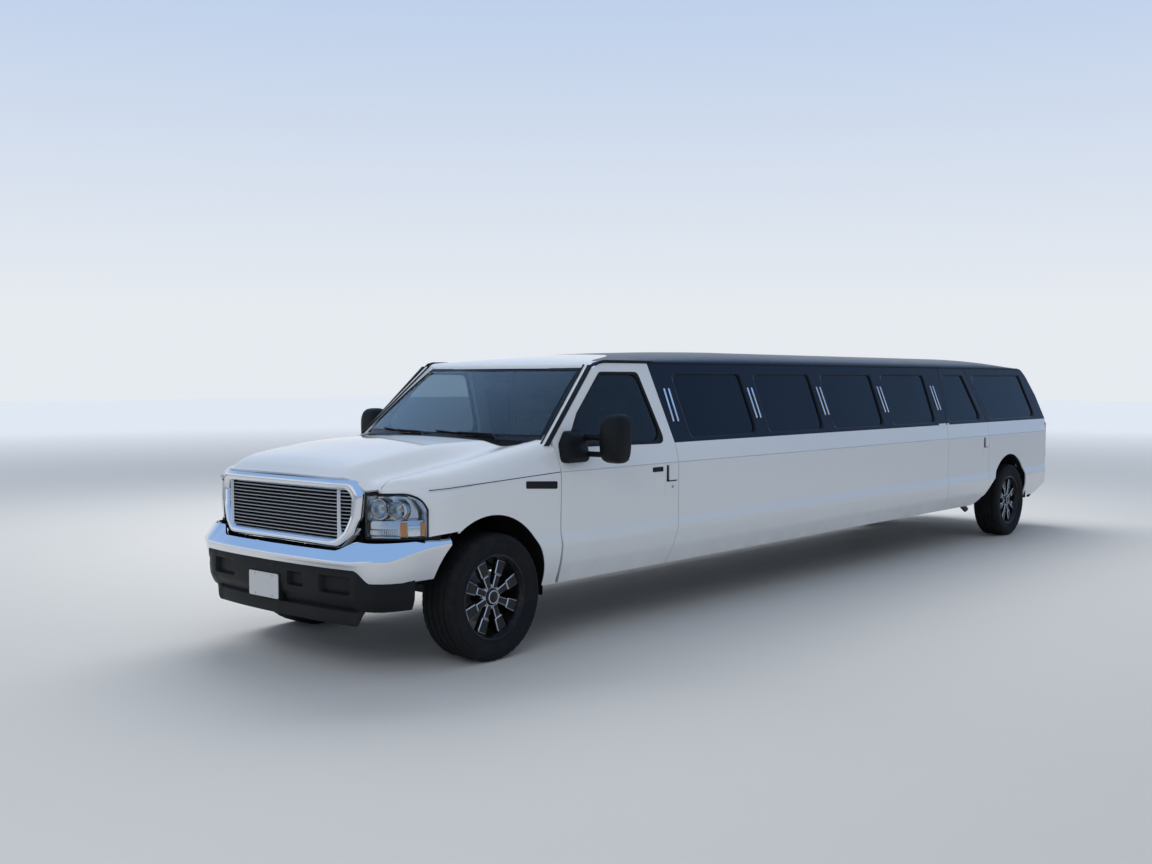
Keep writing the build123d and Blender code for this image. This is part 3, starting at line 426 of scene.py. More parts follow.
class Look(Nodes):
    """Material with a Principled shader; a pattern is a socket or the settings of a noise."""

    def __init__(self, name, color, rough, metallic=0.0, **sockets):
        self.mat = bpy.data.materials.new(name)
        self.mat.use_nodes = True
        super().__init__(self.mat.node_tree, "Object")
        self.shader = self.tree.nodes["Principled BSDF"]
        self.set("Base Color", (*color, 1))
        self.set("Roughness", rough)
        self.set("Metallic", metallic)
        for key, value in sockets.items():
            self.set(key.replace("_", " "), value)
        self.normal = None

    def set(self, socket, value):
        self.shader.inputs[socket].default_value = value

    def texture(self, kind, stretch=(1, 1, 1), **numbers):
        """Texture in the part's own coordinates."""
        place = self.node("ShaderNodeMapping")
        place.inputs["Scale"].default_value = stretch
        self.link(self.coords, place.inputs["Vector"])
        made = self.node(kind)
        for key, number in numbers.items():
            made.inputs[key].default_value = number
        self.link(place.outputs["Vector"], made.inputs["Vector"])
        return made

    def noise(self, scale, detail=3, rough=0.55, stretch=(1, 1, 1)):
        made = self.texture("ShaderNodeTexNoise", stretch, Scale=scale, Detail=detail, Roughness=rough)
        return made.outputs["Fac"]

    def cells(self, scale, feature="F1"):
        cells = self.texture("ShaderNodeTexVoronoi", Scale=scale)
        cells.feature = feature
        return cells.outputs["Distance"]

    def wave(self, scale, direction="X", distortion=0.0):
        """Stripes across one direction."""
        wave = self.node("ShaderNodeTexWave", bands_direction=direction)
        wave.inputs["Scale"].default_value = scale
        wave.inputs["Distortion"].default_value = distortion
        self.link(self.coords, wave.inputs["Vector"])
        return wave.outputs["Fac"]

    def drawn(self, pattern, *ends):
        """Socket of a pattern, moved to a range if its ends are given."""
        value = self.noise(*pattern) if isinstance(pattern, tuple) else pattern
        return self.scaled(value, *ends) if ends else value

    def rough(self, pattern, *ends):
        """Roughness that follows a pattern."""
        self.link(self.drawn(pattern, *ends), self.shader.inputs["Roughness"])

    def tint(self, pattern, other, *ends):
        """Blends the base colour towards another one by a pattern."""
        base = self.shader.inputs["Base Color"]
        color = base.links[0].from_socket if base.links else base.default_value
        self.link(self.blended(self.drawn(pattern, *ends), color, other), base)

    def bump(self, pattern, depth, strength):
        """Adds relief; depth is in metres."""
        bump = self.node("ShaderNodeBump")
        bump.inputs["Strength"].default_value = strength
        bump.inputs["Distance"].default_value = depth
        self.link(self.drawn(pattern), bump.inputs["Height"])
        if self.normal:
            self.link(self.normal, bump.inputs["Normal"])
        self.normal = bump.outputs["Normal"]
        self.link(self.normal, self.shader.inputs["Normal"])


WHITE = (0.80, 0.82, 0.84)
NAVY = (0.009, 0.018, 0.038)

M = {}


def finish(key, name, *args, **sockets):
    """New look whose material is kept under a short name."""
    look = Look(name, *args, **sockets)
    M[key] = look.mat
    return look


def paint(key, name, color, dust=(0.30, 0.28, 0.25), gloss=1.0):
    """Body paint under clear coat, with orange peel and road dust low down."""
    look = finish(
        key, name, color, 0.34, Coat_Weight=gloss, Coat_Roughness=0.035, Specular_IOR_Level=0.45 * gloss
    )
    look.rough((9, 4), 0.28, 0.42)
    look.tint((1.3, 2), tuple(c * 0.8 for c in color), 0.0, 0.06)
    low = look.scaled(look.axis("Z"), 0.30, 0.0, 0.38, 0.62)
    look.tint(look.joined(low, look.drawn((5, 4, 0.6), 0.15, 1.0, 0.30, 0.80)), dust)
    look.bump((260, 2), 0.00012, 0.25)
    return look


def two_tone(key, name, lower, upper, level):
    """Paint whose colour changes at one height."""
    look = paint(key, name, lower)
    above = look.scaled(look.axis("Z"), 0.0, 1.0, level - 0.0005, level + 0.0005)
    for word in ("Coat Weight", "Specular IOR Level"):
        socket = look.shader.inputs[word]
        look.link(look.scaled(above, socket.default_value, 0.10), socket)
    look.tint(above, upper)


def make_body_finishes():
    """Paint, bright metal, plastic and rubber."""
    paint("white", "body_white", WHITE)
    paint("dark", "body_dark", NAVY, (0.03, 0.03, 0.03), 0.15)
    two_tone("two_tone", "body_two_tone", WHITE, NAVY, BELT_Z)

    look = finish("chrome", "chrome", (0.86, 0.87, 0.89), 0.06, 1.0)
    look.rough((30, 4), 0.03, 0.12)
    look.tint((5, 2), (0.62, 0.65, 0.70), 0.0, 0.25)
    look.bump((14, 2), 0.0004, 0.12)

    look = finish("satin", "satin_metal", (0.42, 0.44, 0.47), 0.3, 1.0)
    look.rough((60, 4, 0.55, (1, 1, 6)), 0.22, 0.42)

    look = finish("plastic", "black_plastic", (0.007, 0.0075, 0.008), 0.5, Specular_IOR_Level=0.2)
    look.rough((12, 4), 0.38, 0.62)
    look.tint((6, 4), (0.014, 0.014, 0.014), 0.0, 0.5, 0.4, 0.8)
    look.bump(look.cells(900), 0.00018, 0.6)

    look = finish("rubber", "black_rubber", (0.008, 0.008, 0.009), 0.6, Specular_IOR_Level=0.25)
    look.rough((30, 3), 0.5, 0.75)
    look.bump((300, 2), 0.0002, 0.4)

    look = finish("plate", "plate_blank", (0.66, 0.67, 0.68), 0.4, Coat_Weight=0.4)
    look.rough((30, 4), 0.3, 0.5)
    look.tint((10, 5), (0.45, 0.45, 0.43), 0.0, 0.3)


def make_glass_finishes():
    """Window glass, mirrors and lamps."""
    look = finish("glass", "clear_glass", (0.86, 0.93, 0.90), 0.0, IOR=1.45, Transmission_Weight=1.0)
    look.rough((7, 4), 0.0, 0.035, 0.45, 0.8)

    look = finish("privacy", "dark_glass", (0.005, 0.011, 0.024), 0.03, Specular_IOR_Level=0.14)
    look.rough((5, 3), 0.02, 0.07)
    look.tint((1.1, 2), (0.009, 0.018, 0.034), 0.0, 0.7, 0.35, 0.8)
    look.bump((2.2, 1), 0.0012, 0.25)

    look = finish("tinted", "tinted_glass", (0.17, 0.21, 0.24), 0.0, IOR=1.35, Transmission_Weight=1.0)
    look.rough((7, 4), 0.0, 0.03, 0.45, 0.8)

    look = finish("frit", "printed_border", (0.008, 0.008, 0.009), 0.12, Specular_IOR_Level=0.4)
    look.rough((20, 3), 0.08, 0.2)

    look = finish("mirror", "mirror_glass", (0.70, 0.74, 0.78), 0.02, 1.0)
    look.rough((12, 3), 0.01, 0.05)

    look = finish("lens", "lamp_lens", (0.95, 0.97, 0.98), 0.0, IOR=1.35, Transmission_Weight=1.0)
    look.rough((40, 3), 0.0, 0.04)

    look = finish(
        "clear_block", "clear_block", (0.75, 0.77, 0.78), 0.12, Coat_Weight=1.0, Transmission_Weight=0.2
    )
    look.bump(look.wave(40, "Z"), 0.0009, 0.4)
    look.rough((30,), 0.08, 0.2)

    look = finish("reflector", "reflector", (0.60, 0.60, 0.59), 0.12, 1.0)
    look.bump(look.wave(46, "Z"), 0.0008, 0.35)
    look.rough((80, 2), 0.05, 0.18)

    look = finish("amber", "amber_lens", (0.95, 0.26, 0.012), 0.12, Coat_Weight=1.0)
    look.bump(look.wave(60, "Z"), 0.0008, 0.4)
    look.tint((40,), (1.0, 0.45, 0.05), 0.0, 0.3)

    look = finish("red", "red_lens", (0.33, 0.008, 0.006), 0.12, Transmission_Weight=0.15, Coat_Weight=1.0)
    look.bump(look.wave(48, "Z"), 0.0009, 0.4)
    look.tint((30,), (0.52, 0.02, 0.015), 0.0, 0.35)


def make_chassis_finishes():
    """Frame paint, bare metal, tyres and wheels."""
    look = finish("frame", "frame_black", (0.018, 0.018, 0.019), 0.6)
    look.rough((8, 5), 0.45, 0.85)
    look.tint((4, 6, 0.7), (0.070, 0.058, 0.047), 0.0, 0.8, 0.45, 0.8)
    look.bump((90, 4), 0.0006, 0.4)

    look = finish("cast", "cast_metal", (0.17, 0.17, 0.17), 0.5, 0.8)
    look.tint((9, 6, 0.7), (0.10, 0.070, 0.050), 0.0, 0.9, 0.4, 0.75)
    look.rough((14, 4), 0.4, 0.75)
    look.bump((220, 3), 0.0005, 0.5)

    look = finish("steel", "steel", (0.34, 0.33, 0.32), 0.36, 1.0)
    look.tint((6, 6, 0.7), (0.16, 0.10, 0.065), 0.0, 0.8, 0.45, 0.8)
    look.rough((25, 4), 0.25, 0.6)

    look = finish("tyre", "tyre_rubber", (0.010, 0.010, 0.011), 0.8, Specular_IOR_Level=0.2)
    look.rough((16, 4), 0.68, 0.9)
    look.tint((9, 5, 0.7), (0.026, 0.024, 0.022), 0.0, 0.7, 0.45, 0.85)
    look.bump((180, 3), 0.0004, 0.5)

    look = finish("alloy", "black_alloy", (0.006, 0.006, 0.007), 0.3, Specular_IOR_Level=0.35)
    look.rough((20, 4), 0.22, 0.4)
    look.tint((30, 5), (0.05, 0.045, 0.04), 0.0, 0.5, 0.5, 0.85)

    look = finish("milled", "milled_edge", (0.66, 0.67, 0.68), 0.3, 0.55)
    look.rough((140, 2), 0.24, 0.42)


def make_cabin_finishes():
    """Leather, plastic, wood and carpet."""
    look = finish("leather", "seat_leather", (0.060, 0.058, 0.057), 0.45, Sheen_Weight=0.1)
    look.rough((11, 4), 0.36, 0.58)
    look.tint((5, 4), (0.085, 0.080, 0.076), 0.0, 0.5)
    look.bump(look.cells(330, "SMOOTH_F1"), 0.0006, 0.5)
    look.bump((7, 3), 0.004, 0.3)

    look = finish("cabin", "cabin_plastic", (0.070, 0.068, 0.066), 0.6)
    look.rough((12, 4), 0.5, 0.7)
    look.tint((3, 3), (0.095, 0.092, 0.088), 0.0, 0.5)
    look.bump(look.cells(700), 0.0003, 0.6)

    look = finish("wood", "cabinet_wood", (0.12, 0.045, 0.018), 0.25, Coat_Weight=0.8, Coat_Roughness=0.06)
    look.tint(look.wave(3.5, "Z", 6.0), (0.045, 0.016, 0.007), 0.0, 0.8)
    look.tint((60, 4, 0.55, (0.1, 1, 1)), (0.20, 0.09, 0.04), 0.0, 0.4)

    look = finish("carpet", "carpet", (0.030, 0.030, 0.033), 0.95, Sheen_Weight=0.3)
    look.bump((420, 4), 0.003, 0.8)
    look.tint((12, 4), (0.050, 0.050, 0.054), 0.0, 0.5)


# Short name of the look that each slot takes
SLOT_LOOK = {
    "body_white": "white", "body_dark": "dark", "frame_black": "frame", "chrome_trim": "chrome",
    "clear_glass": "glass", "dark_glass": "privacy", "lamp_lens": "lens", "lamp_red": "red",
    "black_plastic": "plastic", "cast_metal": "cast", "steel": "steel", "tyre_rubber": "tyre",
    "black_alloy": "alloy", "seat_leather": "leather", "cabin_plastic": "cabin",
    "cabinet_wood": "wood", "plate_blank": "plate",
}


def dress_nodes():
    """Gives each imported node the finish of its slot, or its own where it has one."""
    slots = {row["node"]: row["material_slot"] for row in frame["record"]["subparts"]}
    special = {
        "rear_door_left": "two_tone", "rear_door_right": "two_tone", "tail_frame": "two_tone",
        "front_door_glass_left": "tinted", "front_door_glass_right": "tinted", "exhaust_pipe": "cast",
    }
    for name, obj in frame["nodes"].items():
        look = M[special.get(name, SLOT_LOOK[slots[name]])]
        for entry in obj.material_slots:
            entry.material = look


# Front end surfaces
HOOD_REAR = (3.762, 3.880)
HOOD_REAR_HALF = 0.842
FLANK_Y = (0.545, 0.735)
HOOD_CROWN = 0.018
SHOULDER_Y = 0.850
GRILLE_TOP_Z = 1.150
LAMP_TOP_Z = 1.074


def plan_x(y):
    """X of the curved front face at a distance from the middle."""
    return smooth(FRONT_PLAN, abs(y))


def top_z(x, y):
    """Height of the front end's upper surface, inboard of the shoulder."""
    y = abs(y)
    middle, wing = smooth(NOSE, x, 1), smooth(NOSE, x, 2)
    lift = ease((FLANK_Y[1] - y) / (FLANK_Y[1] - FLANK_Y[0]))
    crown = HOOD_CROWN * max(0, 1 - (y / FLANK_Y[0])**2)
    dip = 0.010 * (1 - ease((y - FLANK_Y[1]) / 0.11)) * min(1, max(0, (middle - wing) / 0.05))
    z = wing - dip + (middle - wing) * lift + crown
    if y < gap_y(x):
        z -= 0.024 * ease(1 - (x - hood_rear_x(y)) / 0.075)
    return z - nose_drop(x, y, z)


def front_edge_z(y):
    """Height at which the upper surface meets the grille and the lamps."""
    over_grille = GRILLE_TOP_Z + 0.008
    return over_grille + (LAMP_TOP_Z + 0.008 - over_grille) * ease((y - 0.648) / 0.070)


def nose_drop(x, y, z):
    """How far the surface has rolled down near its front edge."""
    reach = 0.075
    near = 1 - (plan_x(y) - x) / reach
    if near <= 0:
        return 0
    near = min(near, 1)
    return max(0, z - front_edge_z(y)) * (1 - math.sqrt(max(0, 1 - near**2)))


def gap_y(x):
    """Half width of the hood."""
    return 0.800 + (5.100 - x) / (5.100 - HOOD_REAR[0]) * 0.042


def hood_rear_x(y):
    """X of the hood's curved rear edge."""
    return HOOD_REAR[0] + (HOOD_REAR[1] - HOOD_REAR[0]) * (1 - (y / HOOD_REAR_HALF)**2)


def make_hood():
    """Hood with a raised middle, concave flanks and a turned-down edge."""
    along, across = 56, 96
    rows = []
    for i in range(along):
        u = i / (along - 1)
        u = 1 - (1 - u)**1.5
        row = []
        for j in range(across + 1):
            v = 2 * j / across - 1
            y = v * gap_y(4.4)
            x = 0
            for _ in range(3):
                x = hood_rear_x(y) + (plan_x(y) - 0.006 - hood_rear_x(y)) * u
                y = v * gap_y(x)
            row.append((x, y, top_z(x, y)))
        rows.append(row)
    shape = Shape().rows(rows)
    hood = make_object("hood_panel", shape, ["white"])
    modify(hood, "SOLIDIFY", thickness=0.018, offset=-1)
    settle(hood, 40)
    seat_on(hood, "hood", "body_white", "hood")


def side_limit(x):
    """Outermost Y that the plan's rounded corner allows."""
    rows = [(x_at, y_at) for y_at, x_at in FRONT_PLAN[3:8]] + [(4.5, 1.03)]
    return smooth(rows[::-1], x) if x > 4.5 else 1.03


def soft_min(a, b, width=0.02):
    """Lesser of two numbers, blended where they are close."""
    h = max(width - abs(a - b), 0) / width
    return min(a, b) - h * h * width / 4


def fender_y(x, z):
    """Y of the fender's side."""
    return soft_min(smooth(SKIN, z), side_limit(x))


def fender_slice(x):
    """Points of the fender's section from the hood gap over the shoulder and down the side."""
    top_count, arc_count, side_count = 8, 12, 34
    inner = gap_y(max(x, HOOD_REAR[0])) + 0.006
    level = smooth(NOSE, x, 2) - smooth(NOSE, x, 3)
    side_top = fender_y(x, level)
    wide = max(min(side_top - SHOULDER_Y, side_top - inner - 0.004), 0.012)
    shoulder = side_top - wide
    points = []
    for k in range(top_count):
        y = inner + (shoulder - inner) * k / top_count
        points.append((x, y, top_z(x, y)))
    edge_top = top_z(x, shoulder)
    for k in range(arc_count):
        a = math.pi / 2 * k / arc_count
        points.append((x, shoulder + wide * math.sin(a), level + (edge_top - level) * math.cos(a)))
    for k in range(side_count + 1):
        z = level + (SKIN[0][0] - level) * k / side_count
        points.append((x, fender_y(x, z), z))
    return points


def wheel_arch(x, z, radius, near, far):
    """Round cutter across the vehicle, between two places on Y."""
    steps = 96
    arch = Shape().lathe(
        [(near, radius), (far, radius)], steps, axis="y", place=Matrix.Translation((x, 0, z))
    )
    arch.faces += [list(range(steps)), list(range(steps, 2 * steps))]
    arch.mats += [0, 0]
    return arch


def side_cutter(outline, y, run):
    """Cutter with an outline in (x, z), from a place on Y outwards."""
    return Shape().prism([(x, y, z) for x, z in outline], (0, run, 0))


ARCH_X = FRONT_AXLE_X + 0.030
ARCH_Z = 0.412
OVER_BUMPER = [(4.50, 0.20), (4.50, 0.834), (4.64, 0.826), (4.76, 0.815), (5.30, 0.808), (5.30, 0.20)]
ROUND_LAMP = [
    (4.726, 0.70), (4.738, 0.955), (4.790, 1.036), (4.856, 1.070), (4.90, LAMP_TOP_Z + 0.003),
    (5.4, LAMP_TOP_Z + 0.003), (5.4, 0.70),
]
# Front edge of the door, as (distance behind the front axle, height)
DOOR_EDGE = [
    (0.618, 0.3), (0.594, 0.742), (0.594, 1.152), (0.547, 1.342), (0.60, 1.40), (0.9, 1.40), (0.9, 0.3)
]


def make_fenders():
    """Front fenders with rounded shoulders, cut for the wheel, the bumper, the lamp and the door."""
    xs = span(3.600, 4.560, 34) + span(4.590, 4.946, 30)
    fender = make_object("fender", Shape().rows([fender_slice(x) for x in xs]), ["white"])
    modify(fender, "SOLIDIFY", thickness=0.016, offset=-1)
    cut(fender, wheel_arch(ARCH_X, ARCH_Z, 0.495, 0.3, 1.2))
    cut(fender, side_cutter(OVER_BUMPER, 0.5, 0.7))
    cut(fender, side_cutter(rounded(ROUND_LAMP, 0.03), 0.60, 0.6))
    cut(fender, side_cutter([(from_axle(s), z) for s, z in DOOR_EDGE], 0.7, 0.5), 40)
    other = fender.copy()
    other.data = fender.data.copy()
    bpy.context.scene.collection.objects.link(other)
    other.data.transform(Matrix.Scale(-1, 4, (0, 1, 0)))
    other.data.flip_normals()
    other.name = "fender_right"
    fender.name = "fender_left"
    for obj in (fender, other):
        seat_on(obj, "body", "body_white", "front_fenders")


def make_fender_trim():
    """Dark line that paints the shade in the fender's groove, and the dark strip between the headlamp and the
    bumper.
    """
    # Painted shade: a thin dark tube laid along the groove, where its shadow falls
    groove_shade_line = []
    for x in span(3.600, 4.717, 40):
        z = 1.136 - 0.046 * (x - 3.600) / 1.117
        groove_shade_line.append((x, fender_y(x, z) + 0.0005, z))
    piece("fender_groove_shade_lines", Shape().tube(groove_shade_line, 0.0024, 6).both(), ["rubber"])
    filler = []
    for x in span(4.630, 4.745, 12):
        y = fender_y(x, 0.82)
        filler.append([(x, y - 0.018, 0.845), (x, y - 0.012, 0.800), (x, y - 0.030, 0.790)])
    piece("bumper_fillers", Shape().rows(filler).both(), ["rubber"])


# Grille
# Right halves of its outlines as (Y, Z), from the lower corner up
GRILLE_OUTER = [(0.560, 0.750), (0.652, 0.835), (0.694, 0.930), (0.712, 1.075), (0.655, GRILLE_TOP_Z)]
GRILLE_INNER = [(0.515, 0.806), (0.572, 0.845), (0.618, 0.930), (0.628, 1.045), (0.600, 1.086)]
# Section of the surround as (share of its width, how far it stands out)
GRILLE_SECTION = [
    (0.0, -0.045), (0.0, -0.004), (0.04, 0.006), (0.16, 0.016), (0.38, 0.0215),
    (0.62, 0.019), (0.82, 0.008), (0.94, -0.004), (1.0, -0.012), (1.0, -0.055),
]
# Sections of a level bar as (X, Z) and of an upright as (X, Y), from the front face
BAR_SECTION = [
    (-0.004, -0.0028), (-0.004, 0.0028), (-0.008, 0.0043), (-0.030, 0.0054), (-0.030, -0.0054),
    (-0.008, -0.0043),
]
POST_SECTION = [
    (0.004, -0.017), (0.010, -0.006), (0.010, 0.006), (0.004, 0.017), (-0.032, 0.017), (-0.032, -0.017),
]


def grille_loop(half, radius):
    """Evenly spaced points round the grille, from the right half of an outline."""
    outline = [(-half[0][0], half[0][1])] + half + [(-y, z) for y, z in half[:0:-1]]
    return spaced([(y, z, 0) for y, z in flat_rounded(outline, radius, 5)], 220)


def make_grille():
    """Bright surround with level bars and two uprights, before a dark radiator."""
    outer, inner = grille_loop(GRILLE_OUTER, 0.05), grille_loop(GRILLE_INNER, 0.035)
    rows = []
    for t, out in GRILLE_SECTION:
        row = []
        for a, b in zip(outer, inner):
            y, z = a.x + (b.x - a.x) * t, a.y + (b.y - a.y) * t
            row.append((plan_x(y) + out, y, z))
        rows.append(row)
    shape = Shape().rows(rows, closed=True)
    for k in range(13):
        level = 0.8185 + 0.0214 * k
        reach = linear([(z, y) for y, z in GRILLE_INNER], level) + 0.006
        bar = [[(plan_x(y) + dx, y, level + dz) for dx, dz in BAR_SECTION] for y in span(-reach, reach, 41)]
        shape.rows(bar, 1, closed=True, ends=True)
    for y in (-0.548, 0.548):
        post = [[(plan_x(y) + dx, y + dy, z) for dx, dy in POST_SECTION] for z in span(0.800, 1.090, 12)]
        shape.rows(post, closed=True, ends=True)
    piece("grille_bright", shape, ["chrome", "satin"], "body", "chrome_trim", ["grille"], 45)
    core = Shape()
    for back in (0.075, 0.085):
        core.rows([[(plan_x(y) - back, y, z) for y in span(-0.64, 0.64, 24)] for z in (0.77, 1.10)])
    fins = finish("fins", "radiator_fins", (0.012, 0.012, 0.013), 0.5, 0.4)
    fins.bump(fins.wave(50, "Z"), 0.004, 0.8)
    fins.tint(fins.wave(12, "Y"), (0.03, 0.03, 0.032), 0.0, 0.6)
    piece("radiator_core", core, ["fins"], slot="frame_black")


# Headlamps
# Face in plan as (share of its length from the grille, Y, X)
LAMP_PLAN = [
    (0.0, 0.726, 4.984), (0.25, 0.80, 4.950), (0.5, 0.868, 4.900),
    (0.72, 0.928, 4.832), (0.88, 0.961, 4.765), (1.0, 0.975, 4.730),
]
LAMP_LOW = 0.816
LAMP_DEPTH = 0.075


def lamp_point(t, z, back=0.0):
    """Point on the lamp's wrapped face, or inside it by back."""
    t = min(max(t, 0), 1)
    y, x = smooth(LAMP_PLAN, t, 1), smooth(LAMP_PLAN, t, 2)
    low, high = max(t - 0.01, 0), min(t + 0.01, 1)
    dy = smooth(LAMP_PLAN, high, 1) - smooth(LAMP_PLAN, low, 1)
    dx = smooth(LAMP_PLAN, high, 2) - smooth(LAMP_PLAN, low, 2)
    size = math.hypot(dx, dy)
    return (x - back * dy / size, y + back * dx / size, z)


def lamp_high(t):
    """Upper edge of the lamp along its face."""
    return 1.070 - 0.100 * max(0, (t - 0.62) / 0.38)**2.2


def lamp_face(t, v, back):
    """Point of the lamp's face, or inside it by back; v runs from the lower edge to the upper one."""
    return lamp_point(t, LAMP_LOW + (lamp_high(t) - LAMP_LOW) * v, back)


def lamp_section(t, points):
    """Section across the lamp at one place, from pairs of (back, height above the lower edge)."""
    return [lamp_point(t, LAMP_LOW + up, back) for back, up in points]


def lamp_loop(back):
    """Closed line just outside the lamp's face."""
    outline = [(0.0, LAMP_LOW)] + [(t, lamp_high(t)) for t in span(0.0, 1.0, 22)] + [(1.0, LAMP_LOW)]
    length, margin = 0.36, 0.004
    middle = Vector((length / 2, 0.94, 0))
    out = []
    for p in spaced(rounded([(t * length, z, 0) for t, z in outline], 0.012, 3), 96):
        q = middle + (p - middle) * (1 + margin / 0.15)
        out.append(lamp_point(min(max(q.x / length, -0.03), 1.0), q.y, back))
    return out


def make_lamp_cover(side, word):
    """Clear cover, a little swollen."""
    rows = []
    for v in span(0, 1, 20):
        back = 0.0015 - 0.006 * math.sin(math.pi * v)
        rows.append([lamp_face(t, v, back) for t in span(0, 1, 30)])
    cover = make_object(f"headlamp_lens_{word}", Shape().rows(rows).flipped(side), ["lens"])
    modify(cover, "SOLIDIFY", thickness=0.003, offset=0)
    seat_on(cover, "body", "lamp_lens", "headlamps")


# Sections inside the lamp as (back, height above the lower edge)
LAMP_SHELF = [(0.060, 0.105), (0.030, 0.100), (0.024, 0.085), (0.030, 0.010)]
LAMP_RIB = [(0.024, 0.012), (0.018, 0.02), (0.018, 0.046), (0.024, 0.054)]
AMBER_BLOCK = [(0.012, 0.010), (0.010, 0.045), (0.012, 0.088), (0.028, 0.092), (0.028, 0.008)]
CLEAR_BLOCK = [(0.014, 0.012), (0.012, 0.045), (0.014, 0.070), (0.026, 0.074), (0.026, 0.010)]


def lamp_bowl(radius):
    """Reflector bowl with its rim, as (along, radius)."""
    return [
        (-0.052, 0.004), (-0.051, 0.018), (-0.044, 0.034), (-0.026, 0.047), (0.0, radius - 0.002),
        (0.003, radius), (0.003, radius + 0.004), (-0.004, radius + 0.007), (-0.05, radius + 0.007),
    ]


def make_lamp_inside(side, word):
    """Housing, two round reflectors with bulbs, a ribbed shelf and the corner lamps."""
    ts, vs = span(0, 1, 30), span(0, 1, 20)
    inside = Shape().rows([[lamp_face(t, v, LAMP_DEPTH) for t in ts] for v in vs])
    for v in (0.0, 1.0):
        inside.rows([[lamp_face(t, v, back) for t in ts] for back in (0.006, LAMP_DEPTH)])
    for t in (0.0, 1.0):
        inside.rows([[lamp_face(t, v, back) for v in vs] for back in (0.006, LAMP_DEPTH)])
    for t, radius, z in ((0.24, 0.056, 0.985), (0.56, 0.054, 0.978)):
        x, y, _ = lamp_point(t, z, 0.020)
        face = Matrix.Translation((x, y, z)) @ Matrix.Rotation(math.radians(12), 4, "Z")
        inside.lathe(lamp_bowl(radius), 40, 0, face)
        inside.lathe([(-0.052, 0.012), (-0.020, 0.012), (-0.014, 0.008), (-0.012, 0.0005)], 20, 1, face)
    shelf = []
    for back, up in LAMP_SHELF:
        shelf.append([lamp_point(t, LAMP_LOW + up, back) for t in span(0.02, 0.98, 40)])
    inside.rows(shelf)
    for k in range(14):
        t = 0.06 + k * 0.036
        inside.rows([lamp_section(t, LAMP_RIB), lamp_section(t + 0.018, LAMP_RIB)])
    for t0, t1 in ((0.60, 0.70), (0.88, 0.97)):
        inside.rows([lamp_section(t, AMBER_BLOCK) for t in span(t0, t1, 6)], 2, closed=True, ends=True)
    inside.rows([lamp_section(t, CLEAR_BLOCK) for t in span(0.71, 0.87, 8)], 3, closed=True, ends=True)
    looks = ["reflector", "milled", "amber", "chrome"]
    piece(f"headlamp_inside_{word}", inside.flipped(side), looks, "body", "lamp_lens", ["headlamps"])


def make_headlamps():
    """Clear lamps with round reflectors, amber corners and a dark gasket."""
    for side, word in SIDES:
        make_lamp_cover(side, word)
        make_lamp_inside(side, word)
        gasket = Shape().tube(lamp_loop(0.002), 0.0062, 8, closed=True)
        rear = lamp_loop(0.080)
        gasket.rows([lamp_loop(0.004), rear], closed=True)
        gasket.face(rear)
        piece(f"headlamp_gasket_{word}", gasket.flipped(side), ["rubber"], "body", "lamp_lens", ["headlamps"])


# Front bumper
# Face in plan as (share of its length from the middle, Y, X)
BUMPER_PLAN = [
    (0, 0, 5.165), (0.4, 0.40, 5.152), (0.62, 0.70, 5.120), (0.72, 0.80, 5.084),
    (0.80, 0.892, 5.024), (0.87, 0.950, 4.945), (0.93, 0.985, 4.820), (1.0, 0.998, 4.560),
]


def bumper_point(t, z, stand_in):
    """Point of the bumper's face: t runs from the middle to the wheel end."""
    y, x = smooth(BUMPER_PLAN, t, 1), smooth(BUMPER_PLAN, t, 2)
    corner = ease((y - 0.65) / 0.30)
    return (x - stand_in * (1 - 0.80 * corner), y - stand_in * 0.72 * corner, z)


def bumper_section(t):
    """Outline of the bumper's section at one place, as (height, how far it stands in)."""
    y = bumper_point(t, 0, 0)[1]
    end = ease((t - 0.82) / 0.18)
    lip = 0.688 + 0.012 * ease((t - 0.6) / 0.2) + 0.072 * end
    top = 0.738 + 0.055 * ease((y - 0.55) / 0.14) + 0.004 * end
    low = 0.641 - 0.074 * ease((y - 0.74) / 0.11)
    top_in = 0.010 + (top - lip) * 0.95
    low_in = 0.028 * (lip - low) / 0.12
    return [
        (top - 0.018, top_in + 0.020), (top, top_in + 0.012), (top + 0.001, top_in),
        (lip + 0.012, 0.011), (lip + 0.004, 0.002), (lip - 0.006, 0.0), (lip - 0.020, 0.003),
        ((lip + low) / 2, low_in * 0.45 + 0.002),
        (low + 0.012, low_in), (low, low_in + 0.006), (low + 0.004, low_in + 0.030),
    ]


def make_front_bumper():
    """Bright bumper with a sloped upper face and deeper corners."""
    rows = []
    for t in span(-1, 1, 181):
        row = []
        for z, stand_in in bumper_section(abs(t)):
            x, y, z = bumper_point(abs(t), z, stand_in)
            row.append((x, math.copysign(y, t), z))
        rows.append(row)
    bumper = make_object("bumper_bright", Shape().rows(rows), ["chrome"])
    modify(bumper, "SOLIDIFY", thickness=0.006, offset=-1)
    cut(bumper, wheel_arch(FRONT_AXLE_X, 0.410, 0.506, -1.2, 1.2), 40)
    seat_on(bumper, "body", "chrome_trim", "front_bumper")


# Wheels
TYRE_PROFILE = [
    (-0.108, 0.258), (-0.116, 0.264), (-0.122, 0.280), (-0.130, 0.303), (-0.1345, 0.330),
    (-0.135, 0.345), (-0.1335, 0.362), (-0.129, 0.376), (-0.121, 0.386), (-0.111, 0.3915),
]
GROOVES = (-0.074, -0.026, 0.026, 0.074)


